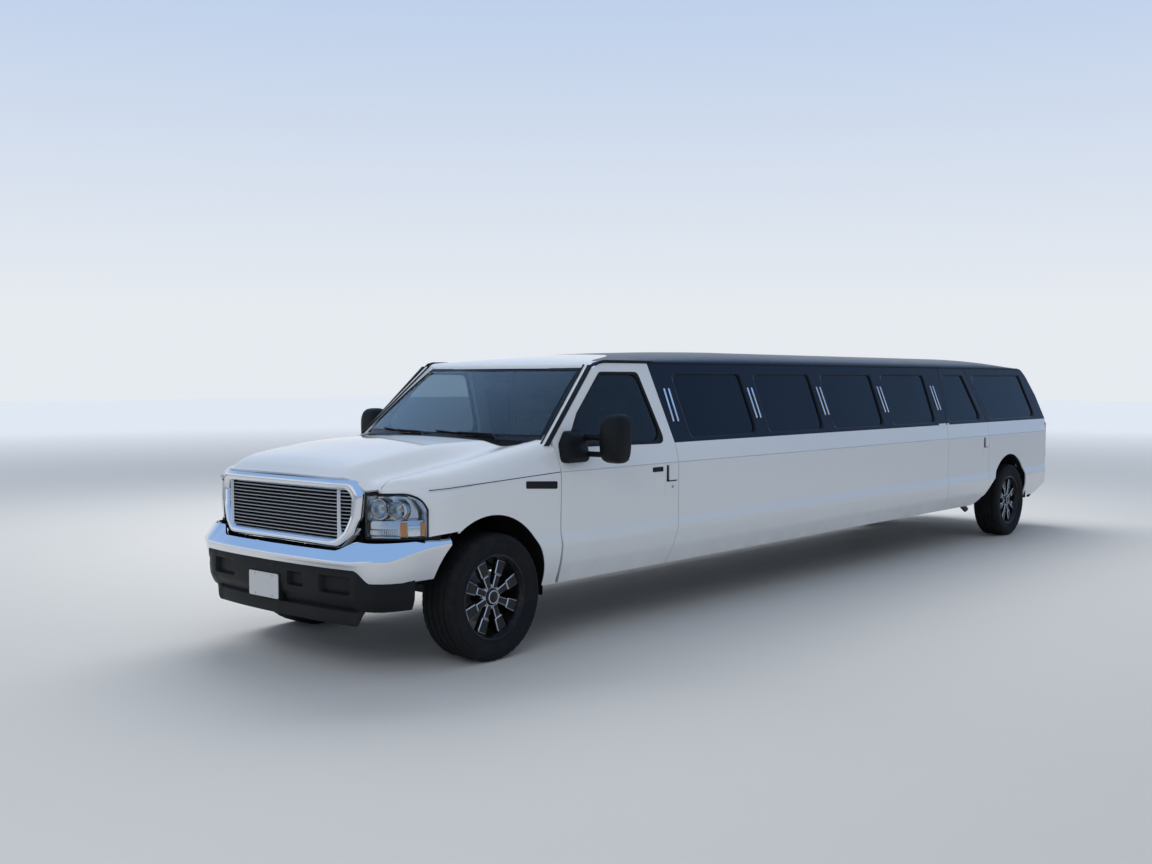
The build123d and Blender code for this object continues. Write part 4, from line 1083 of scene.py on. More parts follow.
def tyre_ring():
    """Tyre section as (across, radius) with its tread grooves."""
    left = TYRE_PROFILE[:]
    crown = [(-0.100, 0.3938)]
    for g in GROOVES:
        level = 0.396 - 0.0022 * abs(g) / 0.074
        crown += [
            (g - 0.006, level), (g - 0.004, level - 0.009), (g + 0.004, level - 0.009), (g + 0.006, level)
        ]
    crown += [(0.100, 0.3938)]
    right = [(-a, r) for a, r in left[::-1]]
    return left + crown + right


def make_tyre(name, x, side, body):
    """Tyre with grooved tread, side rings and shoulder blocks."""
    steps = 180
    profile = tyre_ring()
    shape = Shape()
    rows = []
    for i in range(steps):
        a = 2 * math.pi * i / steps
        row = []
        for across, r in profile:
            shoulder = 0.104 < abs(across) < 0.128 and r > 0.37
            if shoulder and i % 4 == 0:
                r -= 0.006
            sipe = abs(across) < 0.104 and r > 0.390 and i % 4 == (0 if across > 0 else 2)
            if sipe:
                r -= 0.0025
            row.append((x + math.sin(a) * r, side * (WHEEL_Y + across), TYRE_RADIUS + math.cos(a) * r))
        rows.append(row)
    rows.append(rows[0])
    shape.rows(rows)
    for radius in (0.288, 0.352):
        out = 0.1235 if radius < 0.3 else 0.1350
        ring = [
            (x + math.sin(a) * radius, side * (WHEEL_Y + out), TYRE_RADIUS + math.cos(a) * radius)
            for a in turn(120)
        ]
        shape.tube(ring, 0.0016, 6, closed=True)
    piece(name, shape, ["tyre"], body, "tyre_rubber", [name.replace("tread", "tyre")], 24)


# Parts of a wheel, as (across, radius) where they are turned
RIM_BARREL = [
    (-0.118, 0.266), (-0.112, 0.266), (-0.108, 0.2565), (-0.06, 0.247), (0.02, 0.242), (0.080, 0.244),
    (0.098, 0.252), (0.108, 0.2565), (0.112, 0.266), (0.119, 0.2665), (0.1215, 0.262), (0.119, 0.254),
    (0.106, 0.248), (0.094, 0.240), (0.080, 0.236), (0.0, 0.233), (-0.108, 0.238), (-0.118, 0.258),
    (-0.118, 0.266),
]
RIM_LIP = [(0.1213, 0.2630), (0.1222, 0.2600), (0.1213, 0.2570)]
HUB = [
    (-0.050, 0.0005), (-0.050, 0.075), (0.050, 0.078), (0.066, 0.072), (0.074, 0.060), (0.084, 0.058),
    (0.098, 0.050), (0.104, 0.040), (0.106, 0.0005),
]
HUB_RINGS = [
    [(0.0835, 0.0592), (0.0885, 0.0575), (0.0890, 0.0545)],
    [(0.1030, 0.0420), (0.1062, 0.0395), (0.1055, 0.0360)],
]
WHEEL_NUT = [(0.060, 0.0105), (0.081, 0.0105), (0.084, 0.008), (0.085, 0.0004)]
ROTOR = [(-0.046, 0.060), (-0.046, 0.165), (-0.020, 0.165), (-0.020, 0.060)]
# Outlines of a spoke's two parts and of the web behind them, as (sideways, distance from the axle)
SPOKE_ARM = [(-0.019, 0.055), (0.019, 0.055), (0.023, 0.138), (-0.023, 0.138)]
SPOKE_PADDLE = [
    (-0.031, 0.142), (0.031, 0.142), (0.037, 0.226), (0.030, 0.231), (-0.030, 0.231), (-0.037, 0.226)
]
SPOKE_WEB = [(-0.026, 0.130), (0.026, 0.130), (0.030, 0.240), (-0.030, 0.240)]
SPOKE_TURN = 22.5


def make_rim(name, x, side, body):
    """Black wheel with eight paddle spokes that have bright milled edges, its nuts and its brake disc."""
    shape = Shape()
    place = Matrix.Translation((x, side * WHEEL_Y, TYRE_RADIUS))
    if side < 0:
        place = place @ Matrix.Scale(-1, 4, (0, 1, 0))
    for profile, steps in ((RIM_BARREL, 96), (RIM_LIP, 96), (HUB, 48)):
        shape.lathe(profile, steps, 0, place, "y")
    for ring in HUB_RINGS:
        shape.lathe(ring, 48, 1, place, "y")
    for index in range(8):
        spoke = place @ Matrix.Rotation(math.radians(45 * index + SPOKE_TURN), 4, "Y")
        for outline, edge in ((SPOKE_ARM, 0.0042), (SPOKE_PADDLE, 0.0048)):
            base = [(across, 0.052, along) for across, along in outline]
            shape.chamfered(base, (0, 0.040, 0), edge, 0, 1, spoke)
        shape.prism([(across, 0.050, along) for across, along in SPOKE_WEB], (0, 0.026, 0), 0, spoke)
        nut = place @ Matrix.Rotation(math.radians(45 * index), 4, "Y") @ Matrix.Translation((0, 0, 0.0655))
        shape.lathe(WHEEL_NUT, 6, 1, nut, "y")
    shape.lathe(ROTOR, 64, 2, place, "y")
    looks = ["alloy", "milled", "steel"]
    piece(name, shape, looks, body, "black_alloy", [name.replace("wheel", "rim")], 32)


def make_wheels():
    for end, x in (("front", FRONT_AXLE_X), ("rear", REAR_AXLE_X)):
        for side, word in SIDES:
            body = f"{end}_wheel_{word}"
            make_tyre(f"tread_{end}_{word}", x, side, body)
            make_rim(f"wheel_{end}_{word}", x, side, body)


# Body side trim
# Half width of the body side, as (height, Y)
SIDE = [
    (0.405, 0.944), (0.530, 0.988), (0.664, 1.012), (0.742, 0.995),
    (1.135, 1.000), (1.277, 0.972), (1.858, 0.866),
]
# Places along the side are distances behind the front axle; outlines are pairs of such a place and a height
SALOON_WINDOWS = [(1.990, 2.910), (3.080, 3.970), (4.140, 5.080), (5.250, 6.180)]
WINDOW_Z = (1.300, 1.790)
PILLAR_LEAN = 0.075
FRONT_WINDOW = [(0.676, 1.290), (0.820, 1.510), (1.115, 1.790), (1.537, 1.790), (1.755, 1.275)]
REAR_WINDOW = [(6.530, 1.300), (6.530, 1.790), (7.035, 1.790), (7.375, 1.300)]
QUARTER_WINDOW = [(7.590, 1.300), (7.215, 1.790), (8.590, 1.790), (8.900, 1.300)]
# Slanted bars, as (place at the top, place at the bottom)
BARS = [
    (1.816, 1.879), (1.872, 1.937), (2.916, 2.993), (2.974, 3.051), (3.991, 4.080), (4.051, 4.140),
    (5.100, 5.195), (5.160, 5.255), (6.226, 6.328), (6.286, 6.388),
]
BAR_Z = (1.672, 1.430)


def side_y(z):
    """Y of the body side at a height."""
    return linear(SIDE, z)


def on_side(s, z, out=0.0):
    """Point on the body side, standing out by a distance."""
    return Vector((from_axle(s), side_y(z) + out, z))


def side_plate(shape, outline, radius, thick, edge, mat=0):
    """Plate laid on the body side, with rounded corners and a bevelled edge."""
    sink = 0.003
    outline = flat_rounded(outline, radius)
    inner = inset([(s, z, 0) for s, z in outline], edge, Vector((0, 0, 1)))
    base = [on_side(s, z, -sink) for s, z in outline]
    side = [on_side(s, z, thick - edge * 0.7) for s, z in outline]
    face = [on_side(p.x, p.y, thick) for p in inner]
    shape.rows([base, side], mat, closed=True)
    shape.rows([side, face], mat, closed=True)
    shape.face(face, mat)


def rectangle(s0, s1, z0, z1):
    return [(s0, z0), (s1, z0), (s1, z1), (s0, z1)]


def window_band(shape, outline, width=0.014, inner_radius=0.060, plain=None):
    """Band round a window, from the skin in to the glass; plain is the finish of all but its rear edge."""
    count = 120
    flat = [(s, z, 0) for s, z in outline]
    opening = inset(flat, width, Vector((0, 0, 1)))
    outer, inner = [
        spaced(rounded(line, r, 6), count) for line, r in ((flat, 0.055), (opening, inner_radius))
    ]
    steps = ((outer, -0.016), (outer, -0.0015), (outer, 0.0015), (inner, -0.004), (inner, -0.0155))
    rows = [[on_side(p.x, p.y, out) for p in loop] for loop, out in steps]
    first = len(shape.mats)
    shape.rows(rows, closed=True)
    for k in range(count):
        run = outer[(k + 1) % count] - outer[k]
        if plain is not None and run.y > -0.5 * run.length:
            shape.mats[first + k::count] = [plain] * (len(rows) - 1)


def window_outline(front, rear):
    """Leaning side window between two places at half height."""
    low, high = WINDOW_Z
    return [
        (front + PILLAR_LEAN, low), (front - PILLAR_LEAN, high), (rear - PILLAR_LEAN, high),
        (rear + PILLAR_LEAN, low)
    ]


def make_side_trim():
    """Slanted bars, window bands, drip rails, blank badges and clips."""
    bars = Shape()
    high, low = BAR_Z
    half = 0.0105
    for top, bottom in BARS:
        outline = [(bottom - half, low), (bottom + half, low), (top + half, high), (top - half, high)]
        side_plate(bars, outline, 0.010, 0.011, 0.0045)
    piece("pillar_bars", bars.both(), ["chrome"], "body", "chrome_trim")

    bands = Shape()
    for front, rear in SALOON_WINDOWS:
        window_band(bands, window_outline(front, rear), plain=1)
    window_band(bands, QUARTER_WINDOW, plain=1)
    piece("window_bands", bands.both(), ["rubber", "dark"])

    rail = Shape()
    front = ((1.085, -0.026), (1.12, -0.008), (1.17, 0.002), (1.30, 0.004), (1.72, 0.004))
    path = [on_side(s, 1.858, 0.003) + Vector((0, 0, z)) for s, z in front]
    rail.tube(path, [0.004, 0.010, 0.011, 0.010, 0.009], 10)
    rail.tube([on_side(s, 1.857, 0.001) for s in span(1.70, 8.58, 40)], 0.0065, 8)
    piece("drip_rails", rail.both(), ["rubber"])

    badge = Shape()
    side_plate(badge, [(0.262, 1.049), (0.556, 1.029), (0.556, 1.078), (0.262, 1.096)], 0.010, 0.004, 0.0015)
    piece("fender_badges", badge.both(), ["plastic"])

    clip = Shape()
    side_plate(clip, rectangle(6.306, 6.470, 1.272, 1.293), 0.004, 0.004, 0.0015)
    piece("belt_clips", clip.both(), ["white"], "body", "body_white")


# Plates of the door handles as (outline, corner radius, thickness, bevel, finish)
FRONT_PULL = [
    (rectangle(1.712, 1.860, 0.905, 1.124), 0.010, 0.003, 0.0012, 0),
    (rectangle(1.728, 1.850, 1.000, 1.120), 0.006, 0.0042, 0.0008, 1),
    ([(1.752, 1.010), (1.852, 1.010), (1.852, 1.121), (1.750, 1.121)], 0.008, 0.016, 0.006, 0),
]
REAR_PULL = [
    (rectangle(7.345, 7.480, 0.925, 1.122), 0.010, 0.003, 0.0012, 0),
    (rectangle(7.358, 7.470, 1.010, 1.118), 0.006, 0.0042, 0.0008, 1),
    ([(7.390, 1.018), (7.474, 1.018), (7.474, 1.119), (7.386, 1.119)], 0.008, 0.015, 0.006, 0),
    ([(6.500, 1.272), (6.545, 1.272), (6.535, 1.293), (6.500, 1.293)], 0.004, 0.004, 0.0015, 0),
]


def make_door_trim():
    """Bands, handles, locks, badges and clips that ride on the side doors."""
    for side, word in SIDES:
        door = f"front_door_{word}"
        band = Shape()
        window_band(band, FRONT_WINDOW, 0.020, 0.085)
        piece(f"front_window_band_{word}", band.flipped(side), ["rubber"], door, "black_plastic")
        handle = Shape()
        for plate in FRONT_PULL:
            side_plate(handle, *plate)
        lock = Matrix.Translation(on_side(1.800, 0.962, 0.002))
        handle.lathe([(-0.004, 0.011), (0.004, 0.011), (0.0055, 0.009), (0.0055, 0.0004)], 24, 2, lock, "y")
        handle.lathe([(0.0045, 0.0030), (0.0062, 0.0026), (0.0062, 0.0004)], 12, 1, lock, "y")
        side_plate(handle, rectangle(1.567, 1.688, 1.078, 1.112), 0.007, 0.004, 0.0015, 1)
        looks = ["white", "plastic", "satin"]
        piece(f"front_handle_{word}", handle.flipped(side), looks, door, "body_white")

        door = f"rear_door_{word}"
        band = Shape()
        window_band(band, REAR_WINDOW, plain=1)
        piece(f"rear_window_band_{word}", band.flipped(side), ["rubber", "dark"], door, "black_plastic")
        handle = Shape()
        for plate in REAR_PULL:
            side_plate(handle, *plate)
        piece(f"rear_handle_{word}", handle.flipped(side), ["white", "plastic"], door, "body_white")


# Roof, windscreen and pillars
# X of the roof's front edge in the middle and at the sides
ROOF_EDGE = (3.180, 3.100)
ROOF_HALF = 0.866
# Height of the roof in the middle and at its sides, as (distance behind the front edge, Z)
ROOF_TOP = [
    (0.0, 1.813), (0.004, 1.826), (0.018, 1.841), (0.05, 1.858), (0.12, 1.874),
    (0.25, 1.892), (0.70, 1.927), (1.50, 1.957), (2.20, 1.9690), (2.60, 1.9690),
]
ROOF_BASE = [(0.0, 1.813), (0.004, 1.826), (0.018, 1.840), (0.04, 1.852), (0.07, 1.858), (2.6, 1.858)]
# Height of the middle towards the tail, as (X, Z)
ROOF_REAR = [
    (-4.446, 1.859), (-4.35, 1.889), (-4.25, 1.907), (-4.06, 1.933), (-3.80, 1.956), (-3.50, 1.9675),
    (-3.20, 1.9690)
]
CAP_DEPTH = 0.71


def roof_point(along, angle):
    """Roof point: along is the distance behind its front edge, angle runs from -90 to 90 degrees."""
    across = math.sin(angle)
    front = ROOF_EDGE[0] - (ROOF_EDGE[0] - ROOF_EDGE[1]) * across**2
    x = front - along
    if along < 2.6:
        top, base = linear(ROOF_TOP, along), linear(ROOF_BASE, along)
        top = smooth(ROOF_TOP, along) if along > 0.05 else top
    else:
        x = ROOF_EDGE[0] - along + (front - ROOF_EDGE[0]) * max(0, (3.2 - along) / 0.6)
        top, base = smooth(ROOF_REAR, x) if x < -3.2 else 1.9690, 1.858
    return (x, ROOF_HALF * across, base + (top - base) * math.cos(angle))


def cap_warp(along, angle):
    """Draws the white cap's rear edge forward towards the sides of the roof."""
    reach = 1 - 0.86 * ease((abs(math.degrees(angle)) - 26) / 38)
    if along <= CAP_DEPTH + 0.005:
        return along * reach
    if along >= 2.2:
        return along
    share = (along - CAP_DEPTH) / (2.2 - CAP_DEPTH)
    return CAP_DEPTH * reach + (2.2 - CAP_DEPTH * reach) * share


def make_roof():
    """Crowned roof, white above the cab and dark behind it."""
    alongs = [
        0.0, 0.004, 0.010, 0.018, 0.030, 0.05, 0.08, 0.12, 0.18, 0.25, 0.35, 0.5, CAP_DEPTH, CAP_DEPTH + 0.004
    ]
    alongs += span(0.85, 6.3, 24) + span(6.5, 7.626, 18)
    outer = [math.radians(a) for a in (69, 71, 76, 81, 86, 90)]
    angles = [-a for a in outer[::-1]] + span(math.radians(-66), math.radians(66), 45) + outer
    rows = [[roof_point(cap_warp(d, a), a) for a in angles] for d in alongs]
    shape = Shape().rows(rows)
    width = len(angles) - 1
    for r in range(len(rows) - 1):
        for c in range(width):
            inside_cap = alongs[r + 1] <= CAP_DEPTH + 1e-6 and (4 <= c < width - 4 or alongs[r + 1] <= 0.018)
            shape.mats[r * width + c] = 1 if inside_cap else 0
    roof = make_object("roof_skin", shape, ["dark", "white"], 40)
    modify(roof, "SOLIDIFY", thickness=0.016, offset=-1)
    settle(roof, 40)
    seat_on(roof, "body", "body_dark", "roof_panel")


SCREEN_HALF = 0.905


def screen_point(t, v, back=0.0):
    """Point of the windscreen: t from its base to its top, v from -1 to 1 across."""
    half = SCREEN_HALF + (0.764 - SCREEN_HALF) * t
    corner = 3.672 + (3.118 - 3.672) * t
    middle = 3.808 + (3.172 - 3.808) * t
    bulge = 0.014 * 4 * t * (1 - t)
    x = middle - (middle - corner) * v * v + bulge * 0.62 - back * 0.66
    return (x, half * v, 1.326 + (1.811 - 1.326) * t + bulge * 0.5 - back * 0.75)


def make_windscreen():
    """Curved glass with a black printed border and a rubber edge, and a mirror behind it."""
    ts = [0.0, 0.02, 0.04, 0.06] + span(0.10, 0.93, 22) + [0.955, 0.975, 0.99, 1.0]
    vs = [-1.0, -0.99, -0.982] + span(-0.95, 0.95, 41) + [0.982, 0.99, 1.0]
    clear_ts = [t for t in ts if 0.059 < t < 0.976]
    clear_vs = [v for v in vs if -0.983 < v < 0.983]
    glass = Shape().rows([[screen_point(t, v, 0.0025) for v in clear_vs] for t in clear_ts])
    border = Shape()
    for back in (0.0, 0.005):
        for r in range(len(ts) - 1):
            for c in range(len(vs) - 1):
                if ts[r + 1] > 0.061 and ts[r] < 0.974 and vs[c + 1] > -0.981 and vs[c] < 0.981:
                    continue
                quad = [screen_point(ts[r + i], vs[c + j], back) for i, j in ((0, 0), (0, 1), (1, 1), (1, 0))]
                border.face(quad)
    loop = [screen_point(0, v) for v in vs] + [screen_point(t, 1) for t in ts[1:]]
    loop += [screen_point(1, v) for v in vs[::-1][1:]] + [screen_point(t, -1) for t in ts[::-1][1:-1]]
    border.tube(loop, 0.0055, 8, closed=True)
    pane = make_object("screen_glass", glass, ["glass"])
    modify(pane, "SOLIDIFY", thickness=0.0045, offset=0)
    seat_on(pane, "body", "clear_glass", "windscreen")
    piece("screen_border", border, ["frit"], "body", "clear_glass", ["windscreen"])
    mirror = Shape()
    foot = Vector(screen_point(0.86, 0.0, 0.006))
    mirror.tube([foot, foot + Vector((-0.05, 0, -0.02)), foot + Vector((-0.07, 0, -0.06))], 0.009, 10)
    mirror.block(foot + Vector((-0.095, -0.125, -0.100)), foot + Vector((-0.070, 0.125, -0.030)), 0.010)
    mirror.block(foot + Vector((-0.0965, -0.118, -0.094)), foot + Vector((-0.0945, 0.118, -0.036)), 0.0008, 1)
    piece("cab_mirror", mirror, ["plastic", "mirror"])


# Corners of a pillar's section at its base and at its top, as (X, Y)
PILLAR_LOW = [(3.652, 0.862), (3.672, 0.914), (3.664, 0.934), (3.643, 0.959), (3.636, 0.905), (3.610, 0.870)]
PILLAR_HIGH = [(3.070, 0.750), (3.106, 0.786), (3.108, 0.818), (3.106, 0.862), (3.085, 0.830), (3.045, 0.770)]


def pillar_point(k, t):
    """Corner k of the pillar's section at a place up its length."""
    low, high = (*PILLAR_LOW[k], 1.342), (*PILLAR_HIGH[k], 1.858)
    return Vector([a + (b - a) * t for a, b in zip(low, high)])


def make_pillars():
    """Screen pillars, white with a black moulding along both edges."""
    paint_work, trim = Shape(), Shape()
    ts = span(-0.07, 0.955, 14)
    rows = [[pillar_point(k, t) for k in range(6)] for t in ts]
    paint_work.rows(rows, 0, closed=True, ends=True)
    out = Vector((0.0, 0.003, 0.001))
    edge = ((2, 0.2), (2, 1.6), (3, 1.6), (3, 0.2))
    trim.rows([[pillar_point(k, t) + out * far for k, far in edge] for t in ts], closed=True, ends=True)
    trim.tube(
        [pillar_point(1, t).lerp(pillar_point(0, t), 0.12) + Vector((0.004, 0.002, 0.003)) for t in ts],
        0.0058, 8
    )
    piece("pillar_paint", paint_work.both(), ["white"], "body", "body_white", ["screen_pillars"], 40)
    piece("pillar_trim", trim.both(), ["rubber"], "body", "body_white", ["screen_pillars"])


COWL_HALF = 0.84


def cowl_crown(y):
    """Rise of the cowl towards its middle."""
    return 0.022 * (1 - (y / COWL_HALF)**2)


def cowl_ends(y, gap_front, gap_rear):
    """X of the cowl's front and rear edges, each drawn in by a gap."""
    return hood_rear_x(y) - gap_front, screen_point(0, y / SCREEN_HALF)[0] + gap_rear


def make_cowl():
    """Dark cowl below the windscreen, with ribs at both sides."""
    rows = []
    for step in span(0, 1, 9):
        row = []
        for y in span(-COWL_HALF, COWL_HALF, 57):
            front, rear = cowl_ends(y, 0.006, 0.004)
            z = 1.318 + 0.012 * step - 0.010 * math.sin(math.pi * step) + cowl_crown(y)
            row.append((front + (rear - front) * step, y, z))
        rows.append(row)
    shape = Shape().rows(rows)
    shape.rows([[(x, y, z - 0.03) for x, y, z in rows[0]], rows[0]])
    for k in range(13):
        for sign in (-1, 1):
            y = sign * (0.46 + 0.026 * k)
            front, rear = cowl_ends(y, 0.012, 0.012)
            rib = []
            for u in span(0.05, 0.9, 6):
                z = 1.327 - 0.004 * math.cos(math.pi * u) + cowl_crown(y)
                rib.append((front + (rear - front) * u, y, z))
            shape.tube(rib, 0.0042, 6)
    piece("cowl_grille", shape, ["plastic"])


def make_wipers():
    """Two wipers with their pivots, arms and blades."""
    wiper = Shape()
    for pivot, tip in ((0.60, -0.02), (-0.06, -0.66)):
        base = Vector(screen_point(0.0, pivot / SCREEN_HALF)) + Vector((0.035, 0, 0.002))
        cap = [(-0.02, 0.016), (0.010, 0.016), (0.016, 0.010), (0.017, 0.0005)]
        wiper.lathe(cap, 20, 0, Matrix.Translation(base), "z")

        def swept(t, rise, u):
            return Vector(screen_point(t + rise * u, (pivot + (tip - pivot) * u) / SCREEN_HALF))

        rest = [swept(0.055, 0.03, u) + Vector((0.020, 0, 0.016)) for u in span(0.12, 0.62, 8)]
        wiper.tube([base + Vector((0, 0, 0.012))] + rest, [0.009] + [0.0065] * 4 + [0.0045] * 4, 8)
        blade = [swept(0.045, 0.05, u) for u in span(0.10, 1.0, 16)]
        wiper.tube([p + Vector((0.010, 0, 0.008)) for p in blade], 0.0050, 6)
        wiper.tube([p + Vector((0.004, 0, 0.003)) for p in blade], 0.0028, 6)
    piece("wipers", wiper, ["plastic"])


# Door mirrors
# Rings of a mirror's head as (X, size, drop)
MIRROR_HEAD = [
    (3.274, 0.93, 0), (3.271, 0.965, 0), (3.274, 0.992, 0), (3.285, 1.0, 0),
    (3.315, 1.0, 0), (3.345, 0.975, 0), (3.368, 0.91, 0.002), (3.384, 0.80, 0.004),
    (3.394, 0.62, 0.006), (3.399, 0.36, 0.008), (3.400, 0.02, 0.008),
]
MIRROR_FOOT = [(0.602, 1.190), (0.602, 1.315), (0.668, 1.398), (0.800, 1.398), (0.850, 1.330), (0.850, 1.190)]


def mirror_ring(x, size, drop, steps=56):
    """Rounded rectangle across the mirror's head, leaning outwards towards its top."""
    middle, half_high, half_wide = 1.3485, 0.163, 0.0995
    power = 2 / 3.6
    ring = []
    for a in turn(steps):
        c, s = math.cos(a), math.sin(a)
        y = 1.230 + half_wide * size * math.copysign(abs(c)**power, c)
        z = middle + half_high * size * math.copysign(abs(s)**power, s) - drop
        lean = 0.012 * (z - middle) / half_high
        ring.append((x - abs(lean) * 0.2, y + lean * 0.6 - 0.004, z))
    return ring


def make_mirrors():
    """Tall towing mirrors: rounded head, two glasses, two arms and a domed foot."""
    for side, word in SIDES:
        rows = [mirror_ring(*ring) for ring in MIRROR_HEAD]
        head = Shape().rows(rows, closed=True)
        head.face(rows[0], back=True)
        for low, high in ((1.292, 1.488), (1.205, 1.280)):
            head.block((3.2695, 1.150, low), (3.2745, 1.306, high), 0.0015, 1)
        for z, radius in ((1.352, 0.021), (1.243, 0.0185)):
            head.tube([(3.350, 0.990, z), (3.352, 1.06, z), (3.350, 1.150, z)], radius, 14)
        flat = [(s, z, 0) for s, z in flat_rounded(MIRROR_FOOT, 0.045, 6)]
        layers = []
        for edge, out in ((0.0, -0.004), (0.0, 0.030), (0.006, 0.044), (0.018, 0.054), (0.036, 0.060)):
            loop = inset(flat, edge, Vector((0, 0, 1))) if edge else [Vector(p) for p in flat]
            layers.append([on_side(p.x, p.y, out) for p in loop])
        head.rows(layers, closed=True)
        head.face(layers[-1])
        looks, door = ["plastic", "mirror"], f"front_door_{word}"
        piece(
            f"mirror_shell_{word}", head.flipped(side), looks, door, "black_plastic", [f"mirror_{word}"], 40
        )


# Lower front
# Recesses of the apron as (middle on Y, half width, lower edge, upper edge)
DAM_RECESSES = [(0.565, 0.125, 0.490, 0.592), (-0.565, 0.125, 0.490, 0.592), (0.215, 0.075, 0.500, 0.585)]
# How far the apron stands in behind the bumper's line, as (height, depth)
DAM_IN = [
    (0.300, 0.088), (0.330, 0.080), (0.380, 0.084), (0.396, 0.100), (0.420, 0.076), (0.460, 0.050),
    (0.520, 0.042), (0.600, 0.045), (0.648, 0.050)
]
PLATE_MIDDLE = (-0.085, 0.478)


def make_air_dam():
    """Dark apron with rectangular recesses, a lower lip and the plate's mount."""
    upper, lower = [0.648, 0.630, 0.612], [0.470, 0.458, 0.445, 0.430, 0.415, 0.403, 0.396]
    zs = upper + [0.596 - 0.006 * k for k in range(20)] + lower
    rows = []
    for t in span(-0.93, 0.93, 261):
        y_face = math.copysign(bumper_point(abs(t), 0, 0)[1], t)
        row = []
        for z in zs:
            depth = linear(DAM_IN, z)
            for y, half, z0, z1 in DAM_RECESSES:
                across = ease((half - abs(y_face - y)) / 0.012)
                up = ease(min(z - z0, z1 - z) / 0.010)
                depth += 0.026 * across * up
            x, y, _ = bumper_point(abs(t), z, depth)
            row.append((x, math.copysign(y, t), z))
        lip = ease((0.80 - abs(y_face)) / 0.10)
        for share in (0.04, 0.15, 0.6, 0.92, 1.0):
            z = 0.396 - 0.094 * lip * share
            depth = 0.100 + (linear(DAM_IN, z) - 0.100) * lip
            x, y, _ = bumper_point(abs(t), z, depth)
            row.append((x, math.copysign(y, t), z))
        rows.append(row)
    dam = make_object("dam_skin", Shape().rows(rows), ["plastic"])
    modify(dam, "SOLIDIFY", thickness=0.010, offset=-1)
    settle(dam, 35)
    seat_on(dam, "body", "black_plastic", "air_dam")
    y, z = PLATE_MIDDLE
    mount = Shape().block((5.060, y - 0.160, z - 0.080), (5.127, y + 0.160, z + 0.080), 0.008)
    for side in (-1, 1):
        mount.tube([(4.78, side * 0.92, 0.60), (4.80, side * 0.90, 0.47)], 0.012, 8)
    piece("plate_mount", mount, ["plastic"], "body", "black_plastic", ["air_dam"])


REAR_PLATE_Z = 0.590


def make_plates():
    """Blank number plates with a raised rim and four screws."""
    shape = Shape()
    half_wide, half_high = 0.1525, 0.076
    outline = [
        (0, y, z) for y, z in flat_rounded(rectangle(-half_wide, half_wide, -half_high, half_high), 0.012)
    ]
    up = Vector((1, 0, 0))
    for spot, angle in (((5.1285, *PLATE_MIDDLE), 0), ((-5.1605, 0.0, REAR_PLATE_Z), math.pi)):
        place = Matrix.Translation(spot) @ Matrix.Rotation(angle, 4, "Z")
        loops = []
        for edge, out in ((0.0, 0.0), (0.0, 0.0020), (0.0015, 0.0032), (0.0045, 0.0032), (0.0060, 0.0018)):
            loop = inset(outline, edge, up) if edge else [Vector(p) for p in outline]
            loops.append([p + up * out for p in loop])
        shape.rows(loops, 0, closed=True, place=place)
        shape.face(loops[-1], 0, place)
        for sy in (-1, 1):
            for sz in (-1, 1):
                screw = place @ Matrix.Translation((0, sy * 0.0889, sz * 0.0603))
                shape.lathe(
                    [(0.0015, 0.0062), (0.0032, 0.0060), (0.0040, 0.0045), (0.0040, 0.0003)], 12, 1, screw
                )
    piece("blank_plates", shape, ["plate", "satin"], "body", "plate_blank", ["number_plates"])


# Tail
def tail_path(count):
    """Plan line of the tail lamp from its inner edge round the corner, as (X, Y, outward direction)."""
    corner_y, radius = 0.855, 0.175
    points = []
    for u in span(0, 1, count):
        if u < 0.2:
            points.append((TAIL_X, 0.808 + (corner_y - 0.808) * u / 0.2, Vector((-1, 0, 0))))
        else:
            a = math.radians(50) * (u - 0.2) / 0.8
            outward = Vector((-math.cos(a), math.sin(a), 0))
            points.append((TAIL_X + radius * (1 - math.cos(a)), corner_y + radius * math.sin(a), outward))
    return points


TAIL_LAMP_ZS = [
    0.802, 0.806, 0.815, 0.850, 0.893, 0.898, 0.902, 0.950, 0.997, 1.002, 1.006,
    1.070, 1.140, 1.200, 1.225, 1.234, 1.238,
]


def make_tail_lamps():
    """Upright lamps with red and clear parts, wrapped round the corners."""
    rows = []
    for z in TAIL_LAMP_ZS:
        edge = min(z - 0.800, 1.240 - z)
        lift = 0.013 * math.sqrt(min(1, max(0, edge) / 0.020))
        if 0.895 < z < 0.900 or 1.000 < z < 1.004:
            lift -= 0.003
        row = []
        for i, (x, y, outward) in enumerate(tail_path(26)):
            ends = min(i, 25 - i) / 25
            reach = lift * math.sqrt(min(1, 0.15 + ends / 0.08))
            row.append(Vector((x, y, z)) + outward * (reach if 0 < i < 25 else 0.001))
        rows.append(row)
    lamp = Shape()
    for low, high, z0, z1 in zip(rows, rows[1:], TAIL_LAMP_ZS, TAIL_LAMP_ZS[1:]):
        lamp.rows([low, high], 1 if 0.898 <= z0 and z1 <= 1.003 else 0)
    piece("tail_lamp_lenses", lamp.both(), ["red", "clear_block"], "body", "lamp_red", ["tail_lamps"], 40)


# Rear bumper in plan as (X, Y), and its section as (height, how far it stands in)
STEP_PLAN = [
    (-5.165, 0.0), (-5.164, 0.30), (-5.158, 0.60), (-5.142, 0.76),
    (-5.120, 0.85), (-5.090, 0.905), (-5.050, 0.942), (-5.034, 0.945),
]
STEP_SECTION = [
    (0.696, 0.075), (0.699, 0.012), (0.696, 0.004), (0.690, 0.0), (0.680, 0.0), (0.674, 0.0008),
    (0.670, 0.001), (0.640, 0.001), (0.600, 0.001), (0.560, 0.002), (0.512, 0.004), (0.508, 0.005),
    (0.500, 0.010), (0.492, 0.020), (0.484, 0.034), (0.482, 0.060),
]


